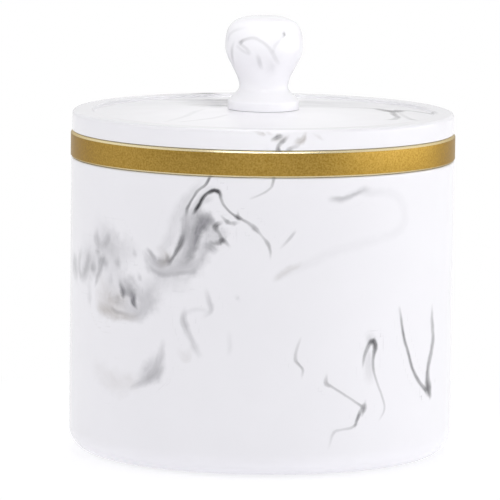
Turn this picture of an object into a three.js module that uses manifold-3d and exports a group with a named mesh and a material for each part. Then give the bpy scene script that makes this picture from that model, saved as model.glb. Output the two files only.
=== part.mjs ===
// A round lidded jar for cotton swabs: a cast marble-look resin jar with a gold ring round its mouth,
// and a resin lid with a turned knob. Millimetres, +Z up. The origin is the middle of the base, on the
// surface that the foot pads stand on, and -Y is the front.

import * as THREE from "three";
import Module from "manifold-3d";
import { mergeVertices } from "three/addons/utils/BufferGeometryUtils.js";

const wasm = await Module();
wasm.setup();

// Gaps between neighbouring pieces
const FIT_GAP = 0.3;
const PLUG_CLEARANCE = 0.8;

// Jar: outside, wall and floor
const JAR_RADIUS = 50;
const JAR_HEIGHT = 83.4;
const JAR_WALL = 4.5;
const JAR_FLOOR = 5;
const JAR_FOOT_FILLET = 6;
const JAR_INSIDE_FILLET = 4;
const JAR_LIP_FILLET = 0.6;
const JAR_SHOULDER_FILLET = 0.45;

// Gold ring in its rebate round the jar's mouth
const BAND_HEIGHT = 6.7;
const BAND_THICKNESS = 0.9;
const BAND_PROUD = 0.15;
const BAND_EDGE_FILLET = 0.25;

// Foot pads in pockets under the base
const PAD_RADIUS = 6;
const PAD_THICKNESS = 1.6;
const PAD_PROUD = 0.6;
const PAD_EDGE_FILLET = 0.4;
const PAD_CIRCLE_RADIUS = 32;

// Lid: edge, border, shallow step and domed middle
const LID_SETBACK = 0.2;
const LID_EDGE_HEIGHT = 5.2;
const LID_EDGE_FILLET = 1;
const LID_UNDER_FILLET = 0.4;
const LID_BORDER_WIDTH = 5.2;
const LID_STEP_DEPTH = 0.7;
const LID_STEP_RUN = 0.5;
const LID_STEP_FILLET = 0.35;
const LID_DOME_RISE = 1.2;

// Lid plug and the sealing ring in its groove
const PLUG_LAND = 1.2;
const PLUG_LEAD_FILLET = 0.8;
const SEAL_HEIGHT = 2.2;
const SEAL_THICKNESS = 1.8;
const SEAL_RIB_DEPTH = 0.4;

// Knob: foot, waist and bulb, as radii and as heights above the foot's underside
const KNOB_FOOT_RADIUS = 9.35;
const KNOB_FOOT_HEIGHT = 1.9;
const KNOB_FOOT_FILLET = 0.8;
const KNOB_FLARE_RADIUS = 8;
const KNOB_FLARE_HEIGHT = 3.3;
const KNOB_WAIST_RADIUS = 6.4;
const KNOB_WAIST_HEIGHT = 5.6;
const KNOB_BULB_RADIUS = 10.2;
const KNOB_BULB_HEIGHT = 16;
const KNOB_HEIGHT = 24.1;

// Fullness of the knob's curves: the share of each span that its handles reach
const CROWN_FULLNESS = 0.78;
const BULB_FULLNESS = 0.33;
const FLARE_FULLNESS = 0.45;

// Brass insert in the knob, with the screw and washer that hold it from below
const INSERT_RADIUS = 3.2;
const INSERT_LENGTH = 9;
const INSERT_INSET = 0.4;
const INSERT_GROOVE_DEPTH = 0.5;
const INSERT_GROOVE_WIDTH = 1.6;
const INSERT_HOLE_SPARE = 1.5;
const SCREW_RADIUS = 2;
const SCREW_TIP_CHAMFER = 0.5;
const SCREW_TIP_INSET = 1;
const SCREW_HEAD_RADIUS = 3.8;
const SCREW_HEAD_HEIGHT = 2.4;
const SCREW_HEAD_FILLET = 1.1;
const SCREW_HEAD_SUNK = 0.5;
const DRIVE_LENGTH = 4.4;
const DRIVE_WIDTH = 1.1;
const DRIVE_DEPTH = 1.3;
const WASHER_RADIUS = 4.8;
const WASHER_THICKNESS = 0.8;

// Fineness of the turned shapes
const ROUND_SEGMENTS = 64;
const KNOB_SEGMENTS = 36;
const SMALL_SEGMENTS = 24;
const FILLET_STEPS = 2;
const BROAD_FILLET_STEPS = 5;
const CURVE_STEPS = 7;
const DOME_STEPS = 5;
const FILLET_WALL_SHARE = 0.48;
const MERGE_TOLERANCE = 1e-3;

// Sizes that follow from the ones above
const BORE_RADIUS = JAR_RADIUS - JAR_WALL;
const BAND_INNER_RADIUS = JAR_RADIUS + BAND_PROUD - BAND_THICKNESS;
const REBATE_RADIUS = BAND_INNER_RADIUS - FIT_GAP;
const REBATE_HEIGHT = JAR_HEIGHT - BAND_HEIGHT;
const PAD_POCKET_DEPTH = PAD_THICKNESS + FIT_GAP - PAD_PROUD;
const PLUG_RADIUS = BORE_RADIUS - PLUG_CLEARANCE;
const LID_RADIUS = JAR_RADIUS - LID_SETBACK;
const SEAL_RADIUS = BORE_RADIUS - FIT_GAP;
const SEAL_INNER_RADIUS = SEAL_RADIUS - SEAL_THICKNESS;
const GROOVE_RADIUS = SEAL_INNER_RADIUS - FIT_GAP;
const GROOVE_HEIGHT = SEAL_HEIGHT + 2 * FIT_GAP;
const PLUG_DEPTH = GROOVE_HEIGHT + 2 * PLUG_LAND;
const LID_FLOOR_RADIUS = LID_RADIUS - LID_BORDER_WIDTH - LID_STEP_RUN;
const LID_FLOOR_HEIGHT = LID_EDGE_HEIGHT - LID_STEP_DEPTH;
const LID_CROWN_HEIGHT = LID_FLOOR_HEIGHT + LID_DOME_RISE;
const SCREW_HOLE_RADIUS = SCREW_RADIUS + FIT_GAP;
const SINK_RADIUS = WASHER_RADIUS + FIT_GAP;
const SINK_DEPTH = SCREW_HEAD_SUNK + SCREW_HEAD_HEIGHT + WASHER_THICKNESS + 2 * FIT_GAP;
const SINK_HEIGHT = SINK_DEPTH - PLUG_DEPTH;
const KNOB_SEAT_HEIGHT = LID_CROWN_HEIGHT + FIT_GAP;
const INSERT_HOLE_RADIUS = INSERT_RADIUS + FIT_GAP;
const INSERT_HOLE_DEPTH = INSERT_INSET + INSERT_LENGTH + INSERT_HOLE_SPARE;
const WASHER_SEAT_HEIGHT = SINK_HEIGHT - FIT_GAP - WASHER_THICKNESS;
const SCREW_SEAT_HEIGHT = WASHER_SEAT_HEIGHT - FIT_GAP;
const SCREW_TIP_HEIGHT = KNOB_SEAT_HEIGHT + INSERT_INSET + INSERT_LENGTH - SCREW_TIP_INSET;
const SCREW_LENGTH = SCREW_TIP_HEIGHT - SCREW_SEAT_HEIGHT;

const MARBLE_RESIN = new THREE.MeshStandardMaterial({ color: 0xf1f0f3, roughness: 0.25, metalness: 0 });
const SATIN_GOLD = new THREE.MeshStandardMaterial({ color: 0xb08c3f, roughness: 0.4, metalness: 1 });
const CLEAR_SILICONE = new THREE.MeshStandardMaterial({ color: 0xe4e6e4, roughness: 0.4, metalness: 0 });
const PAD_RUBBER = new THREE.MeshStandardMaterial({ color: 0xd9d8d4, roughness: 0.8, metalness: 0 });
const BRASS = new THREE.MeshStandardMaterial({ color: 0xc2a14d, roughness: 0.35, metalness: 1 });
const STEEL = new THREE.MeshStandardMaterial({ color: 0xb9bbbd, roughness: 0.3, metalness: 1 });

// One corner of a turned profile: its radius, its height and the fillet that rounds it
function corner(radius, height, fillet = 0, steps = FILLET_STEPS) {
  return { point: new THREE.Vector2(radius, height), fillet, steps };
}

// The arc that rounds a corner between two walls, which limit its radius
function filletArc(before, { point, fillet, steps }, after) {
  const back = before.clone().sub(point);
  const ahead = after.clone().sub(point);
  const wall = Math.min(back.length(), ahead.length()) * FILLET_WALL_SHARE;
  const halfAngle = back.angleTo(ahead) / 2;
  const radius = Math.min(fillet, wall * Math.tan(halfAngle));
  const bisector = back.clone().normalize().add(ahead.clone().normalize()).normalize();
  const centre = point.clone().addScaledVector(bisector, radius / Math.sin(halfAngle));
  const reach = radius / Math.tan(halfAngle);
  const start = point.clone().addScaledVector(back.normalize(), reach).sub(centre);
  const turn = Math.sign(ahead.cross(back)) * (Math.PI - 2 * halfAngle);
  const arc = [];
  for (let step = 0; step <= steps; step += 1) {
    arc.push(start.clone().rotateAround(new THREE.Vector2(), (turn * step) / steps).add(centre));
  }
  return arc;
}

// A profile from its corners. An open one starts and ends on the axis; a closed one comes back round.
function profile(corners, closed) {
  const count = corners.length;
  const points = corners.flatMap((current, index) => {
    const isEnd = !closed && (index === 0 || index === count - 1);
    if (isEnd || current.fillet === 0) {
      return [current.point];
    }
    const before = corners[(index + count - 1) % count].point;
    const after = corners[(index + 1) % count].point;
    return filletArc(before, current, after);
  });
  return closed ? [...points, points[0]] : points;
}

function turned(points, segments) {
  return new THREE.LatheGeometry(points, segments).rotateX(Math.PI / 2);
}

function solidOf(geometry) {
  const bare = geometry.clone();
  bare.deleteAttribute("normal");
  bare.deleteAttribute("uv");
  const merged = mergeVertices(bare, MERGE_TOLERANCE);
  return new wasm.Manifold(new wasm.Mesh({
    numProp: 3,
    vertProperties: new Float32Array(merged.attributes.position.array),
    triVerts: new Uint32Array(merged.index.array),
  }));
}

// The body with each cutter taken out of it
function cut(body, cutters) {
  const left = cutters.reduce((solid, cutter) => solid.subtract(solidOf(cutter)), solidOf(body));
  const mesh = left.getMesh();
  const geometry = new THREE.BufferGeometry();
  geometry.setAttribute("position", new THREE.BufferAttribute(mesh.vertProperties, 3));
  geometry.setIndex(new THREE.BufferAttribute(mesh.triVerts, 1));
  geometry.computeVertexNormals();
  return geometry;
}

function piece(name, geometry, material, height = 0) {
  const mesh = new THREE.Mesh(geometry, material);
  mesh.name = name;
  mesh.position.z = height;
  return mesh;
}

// The middle of each foot pad, one in each quarter of the base
function padPlaces() {
  const offset = PAD_CIRCLE_RADIUS * Math.SQRT1_2;
  return [
    { name: "foot_pad_front_left", x: -offset, y: -offset },
    { name: "foot_pad_front_right", x: offset, y: -offset },
    { name: "foot_pad_back_left", x: -offset, y: offset },
    { name: "foot_pad_back_right", x: offset, y: offset },
  ];
}

// The jar, standing on its base at height 0, with the rebate for the ring and the pockets for the pads
function jarBody() {
  const shell = turned(profile([
    corner(0, 0),
    corner(JAR_RADIUS, 0, JAR_FOOT_FILLET, BROAD_FILLET_STEPS),
    corner(JAR_RADIUS, REBATE_HEIGHT, JAR_SHOULDER_FILLET),
    corner(REBATE_RADIUS, REBATE_HEIGHT),
    corner(REBATE_RADIUS, JAR_HEIGHT),
    corner(BORE_RADIUS, JAR_HEIGHT, JAR_LIP_FILLET),
    corner(BORE_RADIUS, JAR_FLOOR, JAR_INSIDE_FILLET, BROAD_FILLET_STEPS),
    corner(0, JAR_FLOOR),
  ], false), ROUND_SEGMENTS);
  const pocketRadius = PAD_RADIUS + FIT_GAP;
  const pockets = padPlaces().map(({ x, y }) =>
    new THREE.CylinderGeometry(pocketRadius, pocketRadius, 2 * PAD_POCKET_DEPTH, SMALL_SEGMENTS)
      .rotateX(Math.PI / 2)
      .translate(x, y, 0));
  return cut(shell, pockets);
}

function goldBand() {
  const outer = JAR_RADIUS + BAND_PROUD;
  const bottom = REBATE_HEIGHT + FIT_GAP;
  return turned(profile([
    corner(BAND_INNER_RADIUS, bottom),
    corner(outer, bottom, BAND_EDGE_FILLET),
    corner(outer, JAR_HEIGHT, BAND_EDGE_FILLET),
    corner(BAND_INNER_RADIUS, JAR_HEIGHT),
  ], true), ROUND_SEGMENTS);
}

function footPad() {
  return turned(profile([
    corner(0, 0),
    corner(PAD_RADIUS, 0, PAD_EDGE_FILLET),
    corner(PAD_RADIUS, PAD_THICKNESS),
    corner(0, PAD_THICKNESS),
  ], false), SMALL_SEGMENTS);
}

// The domed middle of the lid, from its edge in to the screw hole
function lidDome() {
  const points = [];
  for (let step = 1; step <= DOME_STEPS; step += 1) {
    const share = step / DOME_STEPS;
    const radius = THREE.MathUtils.lerp(LID_FLOOR_RADIUS, SCREW_HOLE_RADIUS, share);
    const rise = LID_DOME_RISE * (1 - (radius / LID_FLOOR_RADIUS) ** 2);
    points.push(corner(radius, LID_FLOOR_HEIGHT + rise));
  }
  return points;
}

// The lid, with its edge's underside at height 0 and its plug below that
function lidDisc() {
  const borderRadius = LID_RADIUS - LID_BORDER_WIDTH;
  const grooveTop = -PLUG_LAND;
  const grooveBottom = grooveTop - GROOVE_HEIGHT;
  return turned(profile([
    corner(SCREW_HOLE_RADIUS, SINK_HEIGHT),
    corner(SINK_RADIUS, SINK_HEIGHT),
    corner(SINK_RADIUS, -PLUG_DEPTH),
    corner(PLUG_RADIUS, -PLUG_DEPTH, PLUG_LEAD_FILLET),
    corner(PLUG_RADIUS, grooveBottom),
    corner(GROOVE_RADIUS, grooveBottom),
    corner(GROOVE_RADIUS, grooveTop),
    corner(PLUG_RADIUS, grooveTop),
    corner(PLUG_RADIUS, 0),
    corner(LID_RADIUS, 0, LID_UNDER_FILLET),
    corner(LID_RADIUS, LID_EDGE_HEIGHT, LID_EDGE_FILLET, BROAD_FILLET_STEPS),
    corner(borderRadius, LID_EDGE_HEIGHT, LID_STEP_FILLET),
    corner(LID_FLOOR_RADIUS, LID_FLOOR_HEIGHT, LID_STEP_FILLET),
    ...lidDome(),
  ], true), ROUND_SEGMENTS);
}

// The sealing ring, with a shallow valley between its two outer ribs
function sealRing() {
  const valley = SEAL_RADIUS - SEAL_RIB_DEPTH;
  const rib = SEAL_HEIGHT / 4;
  return turned(profile([
    corner(SEAL_INNER_RADIUS, 0),
    corner(valley, 0),
    corner(SEAL_RADIUS, rib),
    corner(valley, SEAL_HEIGHT / 2),
    corner(SEAL_RADIUS, SEAL_HEIGHT - rib),
    corner(valley, SEAL_HEIGHT),
    corner(SEAL_INNER_RADIUS, SEAL_HEIGHT),
  ], true), ROUND_SEGMENTS);
}

// The knob's side above its foot: the flare's sweep up to the waist, the bulb's underside and its crown
function knobSide() {
  const flareIn = (KNOB_FOOT_RADIUS - KNOB_FLARE_RADIUS) * FLARE_FULLNESS;
  const flareUp = (KNOB_FLARE_HEIGHT - KNOB_FOOT_HEIGHT) * FLARE_FULLNESS;
  const neck = KNOB_WAIST_HEIGHT - KNOB_FLARE_HEIGHT;
  const shoulder = KNOB_BULB_HEIGHT - KNOB_WAIST_HEIGHT;
  const crown = KNOB_HEIGHT - KNOB_BULB_HEIGHT;
  const side = new THREE.CurvePath();
  side.add(new THREE.CubicBezierCurve(
    new THREE.Vector2(KNOB_FLARE_RADIUS, KNOB_FLARE_HEIGHT),
    new THREE.Vector2(KNOB_FLARE_RADIUS - flareIn, KNOB_FLARE_HEIGHT + flareUp),
    new THREE.Vector2(KNOB_WAIST_RADIUS, KNOB_WAIST_HEIGHT - neck * FLARE_FULLNESS),
    new THREE.Vector2(KNOB_WAIST_RADIUS, KNOB_WAIST_HEIGHT),
  ));
  side.add(new THREE.CubicBezierCurve(
    new THREE.Vector2(KNOB_WAIST_RADIUS, KNOB_WAIST_HEIGHT),
    new THREE.Vector2(KNOB_WAIST_RADIUS, KNOB_WAIST_HEIGHT + shoulder * BULB_FULLNESS),
    new THREE.Vector2(KNOB_BULB_RADIUS, KNOB_BULB_HEIGHT - shoulder * BULB_FULLNESS),
    new THREE.Vector2(KNOB_BULB_RADIUS, KNOB_BULB_HEIGHT),
  ));
  side.add(new THREE.CubicBezierCurve(
    new THREE.Vector2(KNOB_BULB_RADIUS, KNOB_BULB_HEIGHT),
    new THREE.Vector2(KNOB_BULB_RADIUS, KNOB_BULB_HEIGHT + crown * CROWN_FULLNESS),
    new THREE.Vector2(KNOB_BULB_RADIUS * CROWN_FULLNESS, KNOB_HEIGHT),
    new THREE.Vector2(0, KNOB_HEIGHT),
  ));
  return side.getPoints(CURVE_STEPS);
}

// The knob, standing on its foot at height 0, with a blind hole for the insert
function knobBody() {
  const foot = profile([
    corner(0, INSERT_HOLE_DEPTH),
    corner(INSERT_HOLE_RADIUS, INSERT_HOLE_DEPTH),
    corner(INSERT_HOLE_RADIUS, 0),
    corner(KNOB_FOOT_RADIUS, 0, KNOB_FOOT_FILLET),
    corner(KNOB_FOOT_RADIUS, KNOB_FOOT_HEIGHT, KNOB_FOOT_FILLET),
    corner(KNOB_FLARE_RADIUS, KNOB_FLARE_HEIGHT),
  ], false);
  return turned([...foot.slice(0, -1), ...knobSide()], KNOB_SEGMENTS);
}

function knobInsert() {
  const grooveBottom = (INSERT_LENGTH - INSERT_GROOVE_WIDTH) / 2;
  const grooveTop = grooveBottom + INSERT_GROOVE_WIDTH;
  const grooveRadius = INSERT_RADIUS - INSERT_GROOVE_DEPTH;
  return turned(profile([
    corner(SCREW_HOLE_RADIUS, 0),
    corner(INSERT_RADIUS, 0),
    corner(INSERT_RADIUS, grooveBottom),
    corner(grooveRadius, grooveBottom),
    corner(grooveRadius, grooveTop),
    corner(INSERT_RADIUS, grooveTop),
    corner(INSERT_RADIUS, INSERT_LENGTH),
    corner(SCREW_HOLE_RADIUS, INSERT_LENGTH),
  ], true), SMALL_SEGMENTS);
}

// The screw, with the seat of its head at height 0 and a cross recess in the head's underside
function knobScrew() {
  const screw = turned(profile([
    corner(0, -SCREW_HEAD_HEIGHT),
    corner(SCREW_HEAD_RADIUS, -SCREW_HEAD_HEIGHT, SCREW_HEAD_FILLET),
    corner(SCREW_HEAD_RADIUS, 0),
    corner(SCREW_RADIUS, 0),
    corner(SCREW_RADIUS, SCREW_LENGTH - SCREW_TIP_CHAMFER),
    corner(SCREW_RADIUS - SCREW_TIP_CHAMFER, SCREW_LENGTH),
    corner(0, SCREW_LENGTH),
  ], false), SMALL_SEGMENTS);
  const slot = new THREE.BoxGeometry(DRIVE_LENGTH, DRIVE_WIDTH, 2 * DRIVE_DEPTH)
    .translate(0, 0, -SCREW_HEAD_HEIGHT);
  const crossSlot = slot.clone().rotateZ(Math.PI / 2);
  return cut(screw, [slot, crossSlot]);
}

function screwWasher() {
  return turned(profile([
    corner(SCREW_HOLE_RADIUS, 0),
    corner(WASHER_RADIUS, 0),
    corner(WASHER_RADIUS, WASHER_THICKNESS),
    corner(SCREW_HOLE_RADIUS, WASHER_THICKNESS),
  ], true), SMALL_SEGMENTS);
}

const jar = new THREE.Group();
jar.position.z = PAD_PROUD;
jar.add(piece("jar_body", jarBody(), MARBLE_RESIN));
jar.add(piece("gold_band", goldBand(), SATIN_GOLD));
for (const { name, x, y } of padPlaces()) {
  const pad = piece(name, footPad(), PAD_RUBBER, -PAD_PROUD);
  pad.position.x = x;
  pad.position.y = y;
  jar.add(pad);
}

const knob = new THREE.Group();
knob.position.z = KNOB_SEAT_HEIGHT;
knob.add(piece("knob", knobBody(), MARBLE_RESIN));
knob.add(piece("knob_insert", knobInsert(), BRASS, INSERT_INSET));

const lid = new THREE.Group();
lid.position.z = PAD_PROUD + JAR_HEIGHT + FIT_GAP;
lid.add(piece("lid", lidDisc(), MARBLE_RESIN));
lid.add(piece("seal_ring", sealRing(), CLEAR_SILICONE, FIT_GAP - PLUG_LAND - GROOVE_HEIGHT));
lid.add(piece("screw_washer", screwWasher(), STEEL, WASHER_SEAT_HEIGHT));
lid.add(piece("knob_screw", knobScrew(), STEEL, SCREW_SEAT_HEIGHT));
lid.add(knob);

const swabJar = new THREE.Group();
swabJar.add(jar, lid);

export default swabJar;
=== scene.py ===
# A round lidded swab jar, dressed for the eye: cast marble-look resin, a satin gold ring and the small
# parts under the lid. Blender holds metres. Sizes and vein routes are in millimetres.
import math
from collections import namedtuple

import bpy
import numpy as np
from bpy.props import FloatProperty, FloatVectorProperty, PointerProperty
from mathutils import Matrix, Vector


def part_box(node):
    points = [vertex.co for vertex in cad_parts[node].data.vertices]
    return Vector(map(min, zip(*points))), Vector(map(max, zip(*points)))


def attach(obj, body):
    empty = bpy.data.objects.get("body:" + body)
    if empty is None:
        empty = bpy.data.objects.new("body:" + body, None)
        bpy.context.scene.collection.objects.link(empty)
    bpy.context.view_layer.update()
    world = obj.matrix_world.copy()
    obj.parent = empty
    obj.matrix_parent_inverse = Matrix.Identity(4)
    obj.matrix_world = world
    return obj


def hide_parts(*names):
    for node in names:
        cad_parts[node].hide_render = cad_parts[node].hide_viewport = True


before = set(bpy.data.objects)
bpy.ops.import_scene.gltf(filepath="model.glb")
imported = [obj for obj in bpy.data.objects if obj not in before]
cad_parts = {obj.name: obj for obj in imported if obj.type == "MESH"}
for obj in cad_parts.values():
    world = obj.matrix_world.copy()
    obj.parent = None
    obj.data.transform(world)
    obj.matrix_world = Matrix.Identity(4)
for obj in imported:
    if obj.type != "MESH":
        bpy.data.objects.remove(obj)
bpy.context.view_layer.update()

bl_info = {
    "name": "Marble-look swab jar",
    "version": (1, 0, 0),
    "blender": (4, 5, 0),
    "location": "View3D > Sidebar > Swab Jar",
    "description": "Makes a lidded swab jar in cast marble-look resin with a satin gold ring",
    "category": "Object",
}

MM = 0.001

# Gap that neighbouring pieces keep
FIT_GAP = 0.3 * MM

# How much further than their CAD nodes the ring and the knob's foot reach into that gap, for fine seams
BAND_TRIM = 0.2 * MM
KNOB_TRIM = 0.3 * MM

# Rounding of an edge that is only deburred
EDGE_BREAK = 0.15 * MM

# Counts of points round the turned pieces, and along the fillets and curves of their outlines
ROUND_SEGMENTS = 360
KNOB_SEGMENTS = 160
SMALL_SEGMENTS = 64
FILLET_STEPS = 6
BROAD_FILLET_STEPS = 14
CURVE_STEPS = 30
DOME_STEPS = 42

# Longest stretch between an outline's points, where the marbling lies and elsewhere
VEINED_STEP = 0.8 * MM
PLAIN_STEP = 5 * MM

# A point this close to the axis is on it
AXIS_REACH = 1e-6 * MM

# Most of a wall that the fillet at one of its ends takes up
FILLET_WALL_SHARE = 0.49

# Edges are shaded sharp from this angle on
SHARP_ANGLE = math.radians(35)

# Corners of a square about its middle
SQUARE = ((-1, -1), (1, -1), (1, 1), (-1, 1))

# Small parts: the pads' nodes, the insert's knurl, the points in one turn of the screw's thread, how near to
# the thread's radius its shank's outline lies, and how much of its length the recess keeps at its floor
FOOT_PADS = ("foot_pad_front_left", "foot_pad_front_right", "foot_pad_back_left", "foot_pad_back_right")
KNURL_TEETH = 28
KNURL_TOOTH_POINTS = 6
THREAD_ROWS = 8
SHANK_SLACK = 0.02 * MM
RECESS_TAPER = 0.6

# Scale of a Wave node that repeats once in a unit of length
WAVE_SCALE = 2 * math.pi / 20

# Places of a Mix node's sockets: two numbers or two colours to mix, and the mixed colour among its outputs
MIX_NUMBER_A = 2
MIX_NUMBER_B = 3
MIX_A = 6
MIX_B = 7
MIX_COLOUR = 2


def linear(code):
    """An sRGB hex colour as linear red, green, blue and full alpha."""
    shares = [int(code[place:place + 2], 16) / 255 for place in (1, 3, 5)]
    return tuple(s / 12.92 if s <= 0.04045 else ((s + 0.055) / 1.055) ** 2.4 for s in shares) + (1.0,)


def length(name, description, millimetres):
    """A length that a user may change, typed in millimetres and held in metres."""
    return FloatProperty(
        name=name, description=description, default=millimetres * MM, min=0.0, unit="LENGTH", precision=5)


def colour(name, description, code):
    """A colour that a user may change, typed as sRGB hex and held as linear."""
    return FloatVectorProperty(
        name=name, description=description, default=linear(code), size=4, min=0.0, max=1.0, subtype="COLOR")


def share(name, description, value):
    """A share from 0 to 1 that a user may change."""
    return FloatProperty(
        name=name, description=description, default=value, min=0.0, max=1.0, subtype="FACTOR")


def power(name, description, watts):
    """A lamp's power that a user may change."""
    return FloatProperty(name=name, description=description, default=watts, min=0.0, unit="POWER")


class JarSettings(bpy.types.PropertyGroup):
    """Sizes of the jar and its gold ring"""

    wall: length("Wall", "Thickness of the cast wall", 4.5)
    base: length("Base", "Thickness of the floor of the well", 5.0)
    foot_fillet: length("Foot rounding", "Radius of the rounded foot edge", 6.0)
    inside_fillet: length("Inside rounding", "Radius between the well's wall and floor", 4.0)
    lip_fillet: length("Lip rounding", "Radius of the mouth's inner edge", 0.6)
    shoulder_fillet: length("Shoulder rounding", "Radius of the wall's edge under the ring", 0.45)
    band_thickness: length("Ring thickness", "Thickness of the gold ring", 0.9)
    band_bevel: length("Ring upper bevel", "Width and height of the ring's bright upper bevel", 0.6)
    band_low_bevel: length("Ring lower bevel", "Width and height of the ring's bright lower bevel", 0.4)
    band_fillet: length("Ring rounding", "Radius at the edges of the ring's bevels", 0.2)


class LidSettings(bpy.types.PropertyGroup):
    """Sizes of the lid and its sealing ring"""

    edge_height: length("Edge height", "Height of the lid's upright edge", 5.2)
    edge_fillet: length("Edge rounding", "Radius of the upper edge", 1.0)
    under_fillet: length("Under rounding", "Radius of the lower edge", 0.2)
    border: length("Border", "Width of the flat border", 5.2)
    step_depth: length("Step depth", "Drop from the border to the sunk middle", 0.7)
    step_run: length("Step run", "Width of that drop", 0.5)
    step_fillet: length("Step rounding", "Radius at the top and foot of the drop", 0.35)
    dome_rise: length("Dome rise", "Rise of the middle from its edge to its centre", 1.2)
    plug_clearance: length("Plug clearance", "Gap between the plug and the jar's bore", 0.8)
    plug_fillet: length("Plug rounding", "Radius of the plug's lower edge", 0.8)
    rib_depth: length("Rib depth", "Depth of the sealing ring's valley and edges", 0.4)


class KnobSettings(bpy.types.PropertyGroup):
    """Sizes of the knob, with heights above its foot's underside"""

    foot_radius: length("Foot radius", "Radius of the knob's foot", 9.35)
    foot_height: length("Foot height", "Height of the foot's upright edge", 1.9)
    foot_fillet: length("Foot rounding", "Radius of the foot's upper edge", 0.8)
    foot_low_fillet: length("Foot lower rounding", "Radius of the foot's lower edge", 0.2)
    flare_radius: length("Flare radius", "Radius where the sloping foot turns into the stem", 8.0)
    flare_height: length("Flare height", "Height where the sloping foot turns into the stem", 3.3)
    waist_radius: length("Waist radius", "Radius at the narrowest place", 6.4)
    waist_height: length("Waist height", "Height of the narrowest place", 5.6)
    bulb_height: length("Bulb height", "Height of the widest place", 16.0)
    hole_radius: length("Hole radius", "Radius of the blind hole for the insert", 3.5)
    hole_depth: length("Hole depth", "Depth of the blind hole for the insert", 10.9)
    crown_fullness: share("Crown fullness", "Reach of the crown's curve handles", 0.78)
    bulb_fullness: share("Bulb fullness", "Reach of the handles under the bulb", 0.33)
    flare_fullness: share("Flare fullness", "Reach of the handles at the flare", 0.45)


class FixingSettings(bpy.types.PropertyGroup):
    """Sizes of the pads, the insert, the screw and the washer"""

    pad_fillet: length("Pad rounding", "Radius of a foot pad's lower edge", 0.4)
    bore_radius: length("Bore radius", "Radius of the holes that the screw goes through", 2.3)
    knurl_depth: length("Knurl depth", "Depth of the insert's straight knurl", 0.2)
    groove_depth: length("Groove depth", "Depth of the insert's middle groove", 0.5)
    groove_width: length("Groove width", "Width of the insert's middle groove", 1.6)
    thread_radius: length("Thread radius", "Outside radius of the screw's thread", 2.0)
    thread_depth: length("Thread depth", "Depth of the screw's thread", 0.38)
    thread_pitch: length("Thread pitch", "Rise of the thread in one turn", 0.7)
    head_height: length("Head height", "Height of the screw's head", 2.4)
    head_fillet: length("Head rounding", "Radius of the screw head's edge", 1.1)
    drive_length: length("Drive length", "Length of the cross recess", 4.4)
    drive_width: length("Drive width", "Width of the cross recess", 1.1)
    drive_depth: length("Drive depth", "Depth of the cross recess", 1.3)
    sink_radius: length("Sink radius", "Radius of the recess under the lid for the screw head", 5.1)
    sink_drop: length("Sink drop", "Depth of that recess's top below the lid edge's underside", 0.9)


class FinishSettings(bpy.types.PropertyGroup):
    """Colours of the finishes"""

    resin: colour("Resin", "The white of the cast resin", "#F0EFF3")
    # Also the colour of two faint arcs on the lid that are a painted reflection of the knob's foot
    ink: colour("Vein ink", "The dark pigment in the thin veins", "#2E2C31")
    # Also the colour of the painted shadow of the knob on the lid and of the painted shade under the knob's
    # bulb
    smoke_and_shade: colour("Smoke", "The thinned pigment in the soft plumes", "#77767C")
    umber: colour("Umber", "The warm tint at the plumes' rims", "#8A7F74")
    gold: colour("Gold", "The dyed gold of the ring", "#957424")
    gold_glint: colour("Gold glint", "The paler grains in the ring", "#B4923F")
    # Painted highlight: the pale cream that the ring's bevels are mixed towards, by how far they face up or
    # down
    gold_bevel_highlight: colour("Gold cut", "The ring's bright cut bevels", "#EADDB4")
    gold_rim: colour("Gold rim", "The ring's tint where it is seen edge-on", "#C0AE88")
    silicone: colour("Silicone", "The milky clear sealing ring", "#E4E7E4")
    rubber: colour("Rubber", "The pale foot pads", "#D6D4CE")
    brass: colour("Brass", "The threaded insert", "#C9A452")
    zinc: colour("Zinc", "The plated screw and washer", "#C3C5C8")


class StageSettings(bpy.types.PropertyGroup):
    """Floor, light and camera"""

    floor: colour("Floor", "The white floor", "#F6F6F8")
    floor_size: length("Floor size", "Width of the floor", 16000.0)
    lens: length("Lens", "Focal length on a 36 mm sensor", 416.0)
    key_power: power("Key", "Soft lamp at the front right", 1.2)
    fill_power: power("Fill", "Soft lamp at the front left", 1.45)
    front_power: power("Front", "Wide low lamp at the front", 2.7)
    right_power: power("Right strip", "Low strip lamp at the right, which the gold ring mirrors", 1.6)
    left_power: power("Left strip", "Low strip lamp at the left, which the gold ring mirrors", 0.2)
    top_power: power("Top", "Lamp overhead", 4.0)
    knob_power: power("Knob lamp", "Small lamp with a snoot, on the knob", 18.0)
    sky: share("Sky", "Level of the white surround that lights the jar", 0.46)


class SwabJarSettings(bpy.types.PropertyGroup):
    """Everything that a user may change"""

    jar: PointerProperty(name="Jar", description="Sizes of the jar and its ring", type=JarSettings)
    lid: PointerProperty(name="Lid", description="Sizes of the lid and its seal", type=LidSettings)
    knob: PointerProperty(name="Knob", description="Sizes of the knob", type=KnobSettings)
    fixings: PointerProperty(name="Fixings", description="Sizes of the small parts", type=FixingSettings)
    finish: PointerProperty(name="Finish", description="Colours of the finishes", type=FinishSettings)
    stage: PointerProperty(name="Stage", description="Floor, light and camera", type=StageSettings)
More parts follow.
